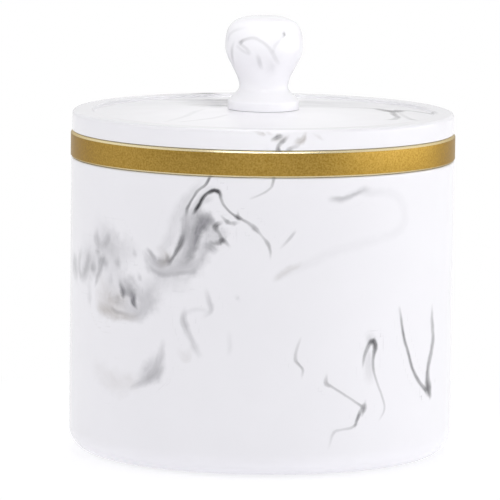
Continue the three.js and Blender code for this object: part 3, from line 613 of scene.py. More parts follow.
def cut_out(piece, cutters):
    """Takes each cutter out of the piece, for good, and deletes the cutters."""
    for cutter in cutters:
        modifier = piece.modifiers.new("cut", "BOOLEAN")
        modifier.object = cutter
        modifier.operation = "DIFFERENCE"
        modifier.solver = "EXACT"
    bpy.context.view_layer.update()
    evaluated = piece.evaluated_get(bpy.context.evaluated_depsgraph_get())
    mesh = bpy.data.meshes.new_from_object(evaluated)
    piece.modifiers.clear()
    piece.data = mesh
    mesh.name = piece.name
    mesh.set_sharp_from_angle(angle=SHARP_ANGLE)
    for cutter in cutters:
        bpy.data.objects.remove(cutter)


def dress(piece, node, body, material):
    """Gives a piece its finish and puts it in the place of its CAD node."""
    piece.data.materials.clear()
    piece.data.materials.append(material)
    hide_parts(node)
    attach(piece, body)


def extent(node):
    """Outside radius of a turned node about the axis, and its lowest and highest height."""
    low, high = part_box(node)
    return high.x, low.z, high.z


def inner_radius_of(node):
    """Inside radius of a turned node about the axis."""
    return min(math.hypot(v.co.x, v.co.y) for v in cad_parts[node].data.vertices)


def pad_extent(node):
    """Radius of a foot pad, its middle on the ground, and its lowest and highest height."""
    low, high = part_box(node)
    return (high.x - low.x) / 2, ((low.x + high.x) / 2, (low.y + high.y) / 2, 0.0), low.z, high.z


# Marbling of the resin

Stroke = namedtuple("Stroke", "line half ink reach")


def smooth_route(route):
    """The points of a stroke, joined by a smooth curve and closely spaced."""
    points = np.array(route, float)
    points[:, :3] *= MM
    padded = np.vstack([2 * points[0] - points[1], points, 2 * points[-1] - points[-2]])
    samples = []
    for index in range(len(points) - 1):
        before, start, end, after = padded[index:index + 4]
        count = max(2, math.ceil(np.linalg.norm((end - start)[:2]) / ROUTE_STEP))
        t = np.linspace(0.0, 1.0, count, endpoint=False)[:, None]
        samples.append(0.5 * (2 * start + (end - before) * t
                              + (2 * before - 5 * start + 4 * end - after) * t ** 2
                              + (3 * start - before - 3 * end + after) * t ** 3))
    samples.append(points[-1:])
    return np.vstack(samples)


def stroke_on(on_surface, route, brush):
    """A stroke laid on a surface."""
    samples = smooth_route(route)
    line = np.array([on_surface(across, up) for across, up in samples[:, :2]])
    half = np.maximum(samples[:, 2], FINEST_HALF)
    return Stroke(line, half, np.clip(samples[:, 3], 0.0, 1.0), half.max() * brush.edge + STROKE_MARGIN)


def are_clear(first, second):
    """Whether two strokes keep out of each other's reach."""
    spread = first.line[:, None, :] - second.line[None, :, :]
    return np.linalg.norm(spread, axis=2).min() > first.reach + second.reach


def in_layers(strokes, count):
    """The strokes, each in the first layer that has none too close to it."""
    layers = [[] for _ in range(count)]
    for stroke in strokes:
        free = [layer for layer in layers if all(are_clear(stroke, other) for other in layer)]
        if not free:
            raise RuntimeError("More strokes cross at one place than there are layers")
        free[0].append(stroke)
    return layers


def unit(vectors):
    """The vectors at length one."""
    return vectors / np.linalg.norm(vectors, axis=1, keepdims=True)


def dots(first, second):
    """The dot product of each vector with its partner."""
    return np.einsum("ij,ij->i", first, second)


def layer_values(places, normals, strokes, brush):
    """For each place, the distance along its stroke in millimetres, across it in half widths, and the ink."""
    values = np.zeros((len(places), 3))
    for stroke in strokes:
        low = stroke.line.min(axis=0) - stroke.reach
        high = stroke.line.max(axis=0) + stroke.reach
        close = np.flatnonzero(np.all((places > low) & (places < high), axis=1))
        gaps = np.linalg.norm(places[close][:, None, :] - stroke.line[None, :, :], axis=2)
        at = gaps.argmin(axis=1)
        gap = gaps[np.arange(len(close)), at]
        is_close = gap < stroke.reach
        close, at, gap = close[is_close], at[is_close], gap[is_close]
        along = unit(np.gradient(stroke.line, axis=0))[at]
        side = unit(np.cross(along, normals[close]))
        away = places[close] - stroke.line[at]
        half = stroke.half[at]
        is_near = np.abs(dots(away, normals[close])) < STROKE_DEPTH
        is_end = (at == 0) | (at == len(stroke.line) - 1)
        past_end = np.abs(dots(away, along)) * is_end
        fade = np.clip((half * brush.edge + STROKE_MARGIN - gap) / STROKE_FADE, 0.0, 1.0)
        end = np.clip(1.0 - past_end / (half + END_MARGIN), 0.0, 1.0)
        values[close, 0] = at * ROUTE_STEP / MM
        values[close, 1] = dots(away, side) / half
        values[close, 2] = stroke.ink[at] * fade * end * is_near
    return values


def marble(piece, painted):
    """Stores strokes on a piece's points, for the resin's material to draw. For each brush, painted has pairs
    of routes and the surfaces that they lie on."""
    mesh = piece.data
    places = np.zeros(len(mesh.vertices) * 3)
    normals = np.zeros(len(mesh.vertices) * 3)
    mesh.vertices.foreach_get("co", places)
    mesh.vertices.foreach_get("normal", normals)
    places = places.reshape(-1, 3)
    normals = normals.reshape(-1, 3)
    for kind, pairs in painted.items():
        brush = BRUSHES[kind]
        strokes = [stroke_on(surface, route, brush)
                   for routes, surfaces in pairs for surface in surfaces for route in routes]
        for index, layer in enumerate(in_layers(strokes, brush.layers)):
            stored = mesh.attributes.new(f"{kind}_{index}", "FLOAT_VECTOR", "POINT")
            stored.data.foreach_set("vector", layer_values(places, normals, layer, brush).ravel())


def round_wall(radius):
    """Places given round a wall, on the front and again, mirrored, on the back."""
    def on_wall(mirror, turn):
        def place(across, up):
            angle = turn + mirror * across / radius
            return radius * math.sin(angle), -radius * math.cos(angle), up
        return place
    return [on_wall(mirror, turn) for mirror, turn in REPEATS]


# Finishes

def add_node(tree, kind, inputs=None, **settings):
    """Adds a node with its settings. An input takes a value, a socket, or a node's first output."""
    node = tree.nodes.new(kind)
    for name, value in settings.items():
        setattr(node, name, value)
    for key, value in (inputs or {}).items():
        if isinstance(value, bpy.types.Node):
            value = value.outputs[0]
        if isinstance(value, bpy.types.NodeSocket):
            tree.links.new(value, node.inputs[key])
        else:
            node.inputs[key].default_value = value
    return node


def blank_material(name):
    """A new material with an empty node tree."""
    material = bpy.data.materials.new(name)
    material.use_nodes = True
    material.node_tree.nodes.clear()
    return material, material.node_tree


def per_metre(millimetres):
    """A pattern's scale from the size of its grains."""
    return 1 / (millimetres * MM)


def cast_marble_resin(finish):
    """Polyester resin cast in a mould with streaks of dark pigment, then polished: a white, softly shining
    body with thin ink-like veins that fray at their edges, feathered grey plumes where the pigment thinned,
    and warm washes where it thinned most."""
    name = "polyester_resin_cast_polished"
    if name in bpy.data.materials:
        return bpy.data.materials[name]
    material, tree = blank_material(name)
    where = add_node(tree, "ShaderNodeTexCoord").outputs["Object"]

    # The white itself varies a little, as the fill settles unevenly in the mould
    cloud = add_node(tree, "ShaderNodeTexNoise", {"Vector": where, "Scale": per_metre(24), "Detail": 3.0})
    settled = add_node(tree, "ShaderNodeMapRange", {
        "Value": cloud, "From Min": 0.15, "From Max": 0.85, "To Min": 0.0, "To Max": 0.05})
    tone = add_node(tree, "ShaderNodeMix", {0: settled, MIX_A: finish.resin, MIX_B: finish.smoke_and_shade},
                    data_type="RGBA")

    # Pigment: each layer's strokes, with strayed edges, broken along lanes that follow the stroke
    # Besides pigment, the plume layers draw the painted shadow of the knob on the lid and the painted shade
    # under the knob's bulb
    grain = add_node(tree, "ShaderNodeTexNoise", {"Vector": where, "Scale": per_metre(2.2), "Detail": 4.0})
    stray = add_node(tree, "ShaderNodeMath", {0: grain, 1: 0.5}, operation="SUBTRACT")
    # The vein layers also draw two faint arcs on the lid that are a painted reflection of the knob's foot
    pigments = {"plume": finish.smoke_and_shade, "wash": finish.umber, "vein": finish.ink}
    for kind, brush in BRUSHES.items():
        for index in range(brush.layers):
            stored = add_node(tree, "ShaderNodeAttribute", attribute_name=f"{kind}_{index}").outputs["Vector"]
            parts = add_node(tree, "ShaderNodeSeparateXYZ", {0: stored})
            strayed = add_node(tree, "ShaderNodeMath", {0: stray, 1: brush.fray, 2: parts.outputs["Y"]},
                               operation="MULTIPLY_ADD")
            gap = add_node(tree, "ShaderNodeMath", {0: strayed}, operation="ABSOLUTE")
            body = add_node(tree, "ShaderNodeMapRange", {
                "Value": gap, "From Min": brush.core, "From Max": brush.edge, "To Min": 1.0, "To Max": 0.0},
                interpolation_type="SMOOTHSTEP")
            lane = add_node(tree, "ShaderNodeVectorMath", {0: stored, 1: LANE_SCALE, 2: (0.0, 0.0, index)},
                            operation="MULTIPLY_ADD")
            streak = add_node(tree, "ShaderNodeTexNoise", {"Vector": lane, "Scale": 1.0, "Detail": 3.0})
            share_left = add_node(tree, "ShaderNodeMapRange", {
                "Value": streak, "From Min": 0.3, "From Max": 0.7,
                "To Min": brush.thinnest, "To Max": brush.thickest})
            laid = add_node(tree, "ShaderNodeMath", {0: body, 1: parts.outputs["Z"]}, operation="MULTIPLY")
            amount = add_node(tree, "ShaderNodeMath", {0: laid, 1: share_left}, operation="MULTIPLY")
            tone = add_node(tree, "ShaderNodeMix", {
                0: amount, MIX_A: tone.outputs[MIX_COLOUR], MIX_B: pigments[kind]}, data_type="RGBA")

    polish = add_node(tree, "ShaderNodeMapRange", {
        "Value": cloud, "From Min": 0.15, "From Max": 0.85, "To Min": 0.16, "To Max": 0.26})
    shader = add_node(tree, "ShaderNodeBsdfPrincipled", {
        "Base Color": tone.outputs[MIX_COLOUR], "Roughness": polish, "IOR": 1.54})
    add_node(tree, "ShaderNodeOutputMaterial", {"Surface": shader})
    return material


def gold_anodised_aluminium(finish):
    """Aluminium strip, bead blasted and dyed gold as it was anodised: a satin metal whose pits show as a
    fine glitter. The pits are really 0.05 mm, and are drawn as coarse as they need to show."""
    material, tree = blank_material("aluminium_blasted_gold_anodised")
    place = add_node(tree, "ShaderNodeTexCoord").outputs
    grain = add_node(tree, "ShaderNodeTexNoise", {
        "Vector": place["Object"], "Scale": per_metre(0.45), "Detail": 2.0})
    glint = add_node(tree, "ShaderNodeMapRange", {"Value": grain, "From Min": 0.35, "From Max": 0.68})
    blasted = add_node(tree, "ShaderNodeMix", {0: glint, MIX_A: finish.gold, MIX_B: finish.gold_glint},
                       data_type="RGBA")
    satin = add_node(tree, "ShaderNodeMapRange", {
        "Value": grain, "From Min": 0.3, "From Max": 0.7, "To Min": 0.36, "To Max": 0.5})

    # The bevels look up and down. They were cut last, so they are smoother. Their colour is also mixed
    # towards a pale cream by how far they face up or down: a painted highlight for the lamps above and the
    # white floor below.
    facing = add_node(tree, "ShaderNodeSeparateXYZ", {0: place["Normal"]}).outputs["Z"]
    tilt = add_node(tree, "ShaderNodeMath", {0: facing}, operation="ABSOLUTE")
    cut = add_node(tree, "ShaderNodeMapRange", {"Value": tilt, "From Min": 0.2, "From Max": 0.5})
    tone = add_node(tree, "ShaderNodeMix", {
        0: cut, MIX_A: blasted.outputs[MIX_COLOUR], MIX_B: finish.gold_bevel_highlight}, data_type="RGBA")
    smooth = add_node(tree, "ShaderNodeMix", {0: cut, MIX_NUMBER_A: satin, MIX_NUMBER_B: 0.24})
    pits = add_node(tree, "ShaderNodeBump", {"Height": grain, "Distance": 0.02 * MM, "Strength": 0.35})
    shader = add_node(tree, "ShaderNodeBsdfPrincipled", {
        "Base Color": tone.outputs[MIX_COLOUR], "Metallic": 1.0, "Roughness": smooth, "Normal": pits,
        "Specular Tint": finish.gold_rim, "Coat Weight": 0.36, "Coat IOR": 1.6, "Coat Roughness": 0.22})
    add_node(tree, "ShaderNodeOutputMaterial", {"Surface": shader})
    return material


def moulded_silicone(finish):
    """Clear silicone rubber moulded in a blasted tool: milky, soft-edged and faintly dull."""
    material, tree = blank_material("silicone_rubber_moulded")
    where = add_node(tree, "ShaderNodeTexCoord").outputs["Object"]
    skin = add_node(tree, "ShaderNodeTexNoise", {"Vector": where, "Scale": per_metre(0.8), "Detail": 2.0})
    dull = add_node(tree, "ShaderNodeMapRange", {
        "Value": skin, "From Min": 0.3, "From Max": 0.7, "To Min": 0.34, "To Max": 0.48})
    ripple = add_node(tree, "ShaderNodeBump", {"Height": skin, "Distance": 0.02 * MM, "Strength": 0.4})
    shader = add_node(tree, "ShaderNodeBsdfPrincipled", {
        "Base Color": finish.silicone, "Roughness": dull, "IOR": 1.41, "Transmission Weight": 0.35,
        "Normal": ripple})
    add_node(tree, "ShaderNodeOutputMaterial", {"Surface": shader})
    return material


def moulded_rubber(finish):
    """Pale non-slip rubber moulded with a stippled face: quite matt, with grains of 0.6 mm."""
    material, tree = blank_material("rubber_moulded_stippled")
    where = add_node(tree, "ShaderNodeTexCoord").outputs["Object"]
    stipple = add_node(tree, "ShaderNodeTexVoronoi", {"Vector": where, "Scale": per_metre(0.6)})
    mottle = add_node(tree, "ShaderNodeTexNoise", {"Vector": where, "Scale": per_metre(3), "Detail": 3.0})
    darker = add_node(tree, "ShaderNodeMapRange", {
        "Value": mottle, "From Min": 0.3, "From Max": 0.7, "To Min": 0.0, "To Max": 0.12})
    tone = add_node(tree, "ShaderNodeMix", {0: darker, MIX_A: finish.rubber, MIX_B: finish.smoke_and_shade},
                    data_type="RGBA")
    bumps = add_node(tree, "ShaderNodeBump", {"Height": stipple, "Distance": 0.08 * MM, "Strength": 0.6})
    shader = add_node(tree, "ShaderNodeBsdfPrincipled", {
        "Base Color": tone.outputs[MIX_COLOUR], "Roughness": 0.82, "IOR": 1.52, "Normal": bumps})
    add_node(tree, "ShaderNodeOutputMaterial", {"Surface": shader})
    return material


def turned_metal(name, tint, ring_spacing, roughest):
    """A metal turned on a lathe: rings along the axis that spread its highlights. They are really about
    0.1 mm apart, and are drawn as coarse as they need to show."""
    if name in bpy.data.materials:
        return bpy.data.materials[name]
    material, tree = blank_material(name)
    where = add_node(tree, "ShaderNodeTexCoord").outputs["Object"]
    rings = add_node(tree, "ShaderNodeTexWave", {
        "Vector": where, "Scale": WAVE_SCALE * per_metre(ring_spacing), "Distortion": 0.6, "Detail": 2.0},
        bands_direction="Z")
    haze = add_node(tree, "ShaderNodeTexNoise", {"Vector": where, "Scale": per_metre(1.2), "Detail": 3.0})
    satin = add_node(tree, "ShaderNodeMapRange", {
        "Value": haze, "From Min": 0.3, "From Max": 0.7, "To Min": 0.2, "To Max": roughest})
    cuts = add_node(tree, "ShaderNodeBump", {"Height": rings, "Distance": 0.01 * MM, "Strength": 0.35})
    shader = add_node(tree, "ShaderNodeBsdfPrincipled", {
        "Base Color": tint, "Metallic": 1.0, "Roughness": satin, "Normal": cuts})
    add_node(tree, "ShaderNodeOutputMaterial", {"Surface": shader})
    return material


def turned_brass(finish):
    """Brass turned from bar: a warm yellow metal with plain turning rings."""
    return turned_metal("brass_turned", finish.brass, ring_spacing=1.885, roughest=0.34)


def zinc_plated_steel(finish):
    """Steel turned from bar, then zinc plated: a cool pale grey, with rings that the plating softens."""
    return turned_metal("steel_turned_zinc_plated", finish.zinc, ring_spacing=1.571, roughest=0.36)


# Pieces

class SWABJAR_OT_jar_body(bpy.types.Operator):
    """Makes the cast resin jar with its well, the ring's rebate and the pockets for the pads"""

    bl_idname = "swab_jar.jar_body"
    bl_label = "Jar body"

    def execute(self, context):
        settings = context.scene.swab_jar.jar
        radius, bottom, top = extent("jar_body")
        band_radius, band_bottom, _ = extent("gold_band")
        bore = radius - settings.wall
        ledge = band_bottom - FIT_GAP
        rebate = band_radius - settings.band_thickness - FIT_GAP
        corners = outline([
            (0.0, bottom),
            (radius, bottom, settings.foot_fillet, BROAD_FILLET_STEPS),
            (radius, ledge, settings.shoulder_fillet),
            (rebate, ledge),
            (rebate, top, EDGE_BREAK),
            (bore, top, settings.lip_fillet),
            (bore, bottom + settings.base, settings.inside_fillet, BROAD_FILLET_STEPS),
            (0.0, bottom + settings.base),
        ])

        def step_at(middle):
            is_veined = middle.x > radius - settings.foot_fillet and middle.y < ledge
            return VEINED_STEP if is_veined else PLAIN_STEP

        piece = turned("cast_jar", spaced(corners, step_at), ROUND_SEGMENTS)
        cut_out(piece, [self.pocket(node) for node in FOOT_PADS])
        walls = round_wall(radius)
        marble(piece, {
            "plume": [(WALL_PLUMES, walls)], "wash": [(WALL_WASHES, walls)], "vein": [(WALL_VEINS, walls)]})
        dress(piece, "jar_body", "jar", cast_marble_resin(context.scene.swab_jar.finish))
        return {"FINISHED"}

    def pocket(self, node):
        """A cutter for the pocket that holds one pad."""
        pad_radius, middle, _, pad_top = pad_extent(node)
        radius = pad_radius + FIT_GAP
        depth = pad_top + FIT_GAP
        corners = outline([(0.0, -depth), (radius, -depth), (radius, depth), (0.0, depth)])
        cutter = turned("pocket", corners, SMALL_SEGMENTS)
        cutter.location = middle
        return cutter


class SWABJAR_OT_gold_band(bpy.types.Operator):
    """Makes the gold ring round the jar's mouth"""

    bl_idname = "swab_jar.gold_band"
    bl_label = "Gold ring"

    def execute(self, context):
        settings = context.scene.swab_jar.jar
        outer, cad_bottom, cad_top = extent("gold_band")
        inner = outer - settings.band_thickness
        bottom = cad_bottom - BAND_TRIM
        top = cad_top + BAND_TRIM
        profile = outline([
            (inner, bottom),
            (outer - settings.band_low_bevel, bottom, settings.band_fillet),
            (outer, bottom + settings.band_low_bevel, settings.band_fillet),
            (outer, top - settings.band_bevel, settings.band_fillet),
            (outer - settings.band_bevel, top, settings.band_fillet),
            (inner, top),
        ], closed=True)
        piece = turned("gold_ring", profile, ROUND_SEGMENTS, closed=True)
        finish = gold_anodised_aluminium(context.scene.swab_jar.finish)
        dress(piece, "gold_band", "jar", finish)
        return {"FINISHED"}


class SWABJAR_OT_foot_pads(bpy.types.Operator):
    """Makes the four non-slip pads under the jar"""

    bl_idname = "swab_jar.foot_pads"
    bl_label = "Foot pads"

    def execute(self, context):
        settings = context.scene.swab_jar.fixings
        finish = moulded_rubber(context.scene.swab_jar.finish)
        for node in FOOT_PADS:
            radius, middle, bottom, top = pad_extent(node)
            corners = outline([
                (0.0, bottom),
                (radius, bottom, settings.pad_fillet),
                (radius, top, settings.pad_fillet / 2),
                (0.0, top),
            ])
            piece = turned(node.replace("foot_pad", "rubber_foot"), corners, SMALL_SEGMENTS)
            piece.location = middle
            dress(piece, node, "jar", finish)
        return {"FINISHED"}


class SWABJAR_OT_lid(bpy.types.Operator):
    """Makes the resin lid with its sunk, domed middle, its plug and the groove for the seal"""

    bl_idname = "swab_jar.lid"
    bl_label = "Lid"

    def execute(self, context):
        settings = context.scene.swab_jar.lid
        fixings = context.scene.swab_jar.fixings
        radius, bottom, _ = extent("lid")
        jar_radius, _, rim = extent("jar_body")
        _, seal_bottom, seal_top = extent("seal_ring")
        under = rim + FIT_GAP
        edge_top = under + settings.edge_height
        plug = jar_radius - context.scene.swab_jar.jar.wall - settings.plug_clearance
        groove = inner_radius_of("seal_ring") - FIT_GAP
        groove_low = seal_bottom - FIT_GAP
        groove_high = seal_top + FIT_GAP
        border = radius - settings.border
        floor = border - settings.step_run
        floor_height = edge_top - settings.step_depth
        sink_top = under - fixings.sink_drop

        def dome_height(reach):
            return floor_height + settings.dome_rise * (1 - (reach / floor) ** 2)

        def on_top(across, back):
            reach = math.hypot(across, back)
            return across, back, dome_height(reach) if reach < floor else edge_top

        def step_at(middle):
            return VEINED_STEP if middle.y > under else PLAIN_STEP

        inward = (fixings.bore_radius - floor) / DOME_STEPS
        reaches = [floor + inward * step for step in range(1, DOME_STEPS + 1)]
        corners = outline([
            (fixings.bore_radius, sink_top),
            (fixings.sink_radius, sink_top),
            (fixings.sink_radius, bottom, settings.under_fillet),
            (plug, bottom, settings.plug_fillet),
            (plug, groove_low),
            (groove, groove_low),
            (groove, groove_high),
            (plug, groove_high),
            (plug, under),
            (radius, under, settings.under_fillet),
            (radius, edge_top, settings.edge_fillet, BROAD_FILLET_STEPS),
            (border, edge_top, settings.step_fillet),
            (floor, floor_height, settings.step_fillet),
            *[(reach, dome_height(reach)) for reach in reaches],
        ], closed=True)
        piece = turned("cast_lid", spaced(corners, step_at, closed=True), ROUND_SEGMENTS, closed=True)
        edges = round_wall(radius)
        # The lid's plume strokes are a painted shadow of the knob, cast towards its back
        # Two of the lid's vein strokes are faint arcs that are a painted reflection of the knob's foot
        marble(piece, {"plume": [(KNOB_SHADOW_ON_LID, [on_top])], "wash": [(EDGE_WASHES, edges)],
                       "vein": [(TOP_VEINS_AND_REFLECTION_ARCS, [on_top]), (EDGE_VEINS, edges)]})
        dress(piece, "lid", "lid", cast_marble_resin(context.scene.swab_jar.finish))
        return {"FINISHED"}


class SWABJAR_OT_seal_ring(bpy.types.Operator):
    """Makes the two-ribbed silicone ring in the lid plug's groove"""

    bl_idname = "swab_jar.seal_ring"
    bl_label = "Sealing ring"

    def execute(self, context):
        settings = context.scene.swab_jar.lid
        inner = inner_radius_of("seal_ring")
        outer, bottom, top = extent("seal_ring")
        valley = outer - settings.rib_depth
        rib = (top - bottom) / 4
        rounding = settings.rib_depth / 2
        profile = outline([
            (inner, bottom, rounding),
            (valley, bottom, rounding),
            (outer, bottom + rib, rounding),
            (valley, bottom + 2 * rib, rounding),
            (outer, bottom + 3 * rib, rounding),
            (valley, top, rounding),
            (inner, top, rounding),
        ], closed=True)
        piece = turned("silicone_seal", profile, ROUND_SEGMENTS, closed=True)
        finish = moulded_silicone(context.scene.swab_jar.finish)
        dress(piece, "seal_ring", "seal", finish)
        return {"FINISHED"}


class SWABJAR_OT_knob(bpy.types.Operator):
    """Makes the resin knob with its foot, waist, bulb and the blind hole for the insert"""

    bl_idname = "swab_jar.knob"
    bl_label = "Knob"

    def execute(self, context):
        settings = context.scene.swab_jar.knob
        bulb, seat, top = extent("knob")
        underside = seat - KNOB_TRIM
        foot_top = seat + settings.foot_height
        flare = seat + settings.flare_height
        waist = seat + settings.waist_height
        widest = seat + settings.bulb_height
        slope_in = settings.foot_radius - settings.flare_radius
        slope_up = flare - foot_top
        stem = waist - flare
        shoulder = widest - waist
        crown = top - widest
        lean = settings.flare_fullness
        foot = outline([
            (0.0, seat + settings.hole_depth),
            (settings.hole_radius, seat + settings.hole_depth),
            (settings.hole_radius, underside),
            (settings.foot_radius, underside, settings.foot_low_fillet),
            (settings.foot_radius, foot_top, settings.foot_fillet),
            (settings.flare_radius, flare),
        ])
        side = bezier(
            (settings.flare_radius, flare),
            (settings.flare_radius - slope_in * lean, flare + slope_up * lean),
            (settings.waist_radius, waist - stem * lean),
            (settings.waist_radius, waist), CURVE_STEPS)
        side += bezier(
            (settings.waist_radius, waist),
            (settings.waist_radius, waist + shoulder * settings.bulb_fullness),
            (bulb, widest - shoulder * settings.bulb_fullness),
            (bulb, widest), CURVE_STEPS)
        side += bezier(
            (bulb, widest),
            (bulb, widest + crown * settings.crown_fullness),
            (bulb * settings.crown_fullness, top),
            (0.0, top), CURVE_STEPS)
        piece = turned("cast_knob", foot + side, KNOB_SEGMENTS)
        heights = [point.y for point in side]
        radii = [point.x for point in side]

        def seen(mirror):
            def place(across, up):
                radius = np.interp(up, heights, radii)
                back = math.sqrt(max(radius ** 2 - across ** 2, 0.0))
                return mirror * across, -mirror * back, up
            return place

        sides = [seen(mirror) for mirror, _ in REPEATS]
        # The second knob plume is a painted shade under the bulb
        marble(piece, {"plume": [(KNOB_PLUMES_AND_SHADE, sides)], "vein": [(KNOB_VEINS, sides)]})
        dress(piece, "knob", "lid", cast_marble_resin(context.scene.swab_jar.finish))
        return {"FINISHED"}


class SWABJAR_OT_knob_insert(bpy.types.Operator):
    """Makes the knurled brass insert in the knob's foot"""

    bl_idname = "swab_jar.knob_insert"
    bl_label = "Knob insert"

    def execute(self, context):
        settings = context.scene.swab_jar.fixings
        outer, bottom, top = extent("knob_insert")
        middle = (bottom + top) / 2
        low = middle - settings.groove_width / 2
        high = middle + settings.groove_width / 2
        waist = outer - settings.groove_depth
        chamfer = settings.knurl_depth
        corners = outline([
            (settings.bore_radius, bottom, chamfer),
            (outer, bottom, chamfer),
            (outer, low),
            (waist, low),
            (waist, high),
            (outer, high),
            (outer, top, chamfer),
            (settings.bore_radius, top, chamfer),
        ], closed=True)

        def knurl(radius, angle, height):
            tooth = 0.5 - 0.5 * math.cos(KNURL_TEETH * angle)
            return radius - settings.knurl_depth * tooth * (radius > waist + settings.knurl_depth)

        piece = turned("brass_insert", corners, KNURL_TEETH * KNURL_TOOTH_POINTS, closed=True, shape=knurl)
        dress(piece, "knob_insert", "lid", turned_brass(context.scene.swab_jar.finish))
        return {"FINISHED"}


class SWABJAR_OT_knob_screw(bpy.types.Operator):
    """Makes the cross-recess machine screw that holds the knob from under the lid"""

    bl_idname = "swab_jar.knob_screw"
    bl_label = "Knob screw"

    def execute(self, context):
        settings = context.scene.swab_jar.fixings
        head, bottom, tip = extent("knob_screw")
        seat = bottom + settings.head_height
        thread = settings.thread_radius
        chamfer = settings.thread_depth
        thread_start = seat + settings.thread_pitch
        corners = outline([
            (0.0, bottom),
            (head, bottom, settings.head_fillet, BROAD_FILLET_STEPS),
            (head, seat, EDGE_BREAK),
            (thread, seat),
            (thread, tip - chamfer),
            (thread - chamfer, tip),
            (0.0, tip),
        ])

        def step_at(middle):
            is_shank = abs(middle.x - thread) < SHANK_SLACK
            return settings.thread_pitch / THREAD_ROWS if is_shank else PLAIN_STEP

        def helix(radius, angle, height):
            if abs(radius - thread) > chamfer / 2 or height < thread_start or height > tip - chamfer:
                return radius
            turn = (height / settings.thread_pitch - angle / (2 * math.pi)) % 1.0
            return radius - settings.thread_depth * (1 - abs(2 * turn - 1))

        piece = turned("zinc_screw", spaced(corners, step_at), SMALL_SEGMENTS, shape=helix)
        cut_out(piece, [self.recess(settings, bottom, turn) for turn in (0.0, math.pi / 2)])
        finish = zinc_plated_steel(context.scene.swab_jar.finish)
        dress(piece, "knob_screw", "lid", finish)
        return {"FINISHED"}

    def recess(self, settings, bottom, turn):
        """A cutter for one arm of the cross recess, tapered towards its floor."""
        reach = settings.drive_length / 2
        half = settings.drive_width / 2
        low = bottom - settings.drive_depth
        high = bottom + settings.drive_depth
        corners = []
        for height, scale in ((low, 2 - RECESS_TAPER), (high, RECESS_TAPER)):
            corners += [(x * reach * scale, y * half, height) for x, y in SQUARE]
        faces = [(3, 2, 1, 0), (4, 5, 6, 7), (0, 1, 5, 4), (1, 2, 6, 5), (2, 3, 7, 6), (3, 0, 4, 7)]
        mesh = bpy.data.meshes.new("recess")
        mesh.from_pydata(corners, [], faces)
        cutter = placed("recess", mesh)
        cutter.rotation_euler.z = turn
        return cutter


class SWABJAR_OT_screw_washer(bpy.types.Operator):
    """Makes the flat washer under the screw's head"""

    bl_idname = "swab_jar.screw_washer"
    bl_label = "Screw washer"

    def execute(self, context):
        settings = context.scene.swab_jar.fixings
        outer, bottom, top = extent("screw_washer")
        rounding = (top - bottom) / 4
        profile = outline([
            (settings.bore_radius, bottom, rounding),
            (outer, bottom, rounding),
            (outer, top, rounding),
            (settings.bore_radius, top, rounding),
        ], closed=True)
        piece = turned("zinc_washer", profile, SMALL_SEGMENTS, closed=True)
        finish = zinc_plated_steel(context.scene.swab_jar.finish)
        dress(piece, "screw_washer", "lid", finish)
        return {"FINISHED"}


# Stage: places and sizes are in millimetres, and the camera stands as in the photographed view
CAMERA_PLACE = (0.0, -1500.0, 239.1)
CAMERA_YAW = math.radians(-0.117)
CAMERA_PITCH = math.radians(7.079)
CAMERA_ROLL = math.radians(0.679)
SENSOR_WIDTH = 36.0

# Soft lamps, each with its place and its size across and up, and the point that they face
LAMPS = {
    "key": ((835.0, -445.0, 200.0), (420.0, 220.0)),
    "fill": ((-880.0, -350.0, 560.0), (600.0, 600.0)),
    "front": ((0.0, -1500.0, 420.0), (1200.0, 1200.0)),
    "right": ((885.0, 80.0, 130.0), (800.0, 120.0)),
    "left": ((-885.0, 30.0, 130.0), (500.0, 140.0)),
    "top": ((0.0, 100.0, 1200.0), (600.0, 600.0)),
}
AIM = (0.0, 0.0, 60.0)

# The knob's small lamp, which fades from the middle of its beam
SNOOT_PLACE = (20.0, -620.0, 560.0)
SNOOT_AIM = (0.0, -8.0, 95.0)
SNOOT_SIZE = 30.0
SNOOT_ANGLE = math.radians(4.1)
SNOOT_BLEND = 1.0

# The floor's own white shows fully from the far reach on, and leaves room for the shadow inside the near one
GLOW_NEAR = 0.5
GLOW_NEAR_REACH = 50 * MM
GLOW_FAR_REACH = 140 * MM

# The surround, and the floor far from the jar
WHITE = linear("#FFFFFF")

# How far the floor lies under the pads, so that no faces coincide
FLOOR_DROP = 0.02 * MM

# Share of white that the lit table gives off itself
TABLE_GLOW = 0.31

# Reflections see the surround at its full white from this height above the horizon, as a sine, and behind
# the jar. The room in front of it is dimmer.
HORIZON_SINE = 0.11
HORIZON_WHITE = 0.5
FRONT_SINE = 0.3


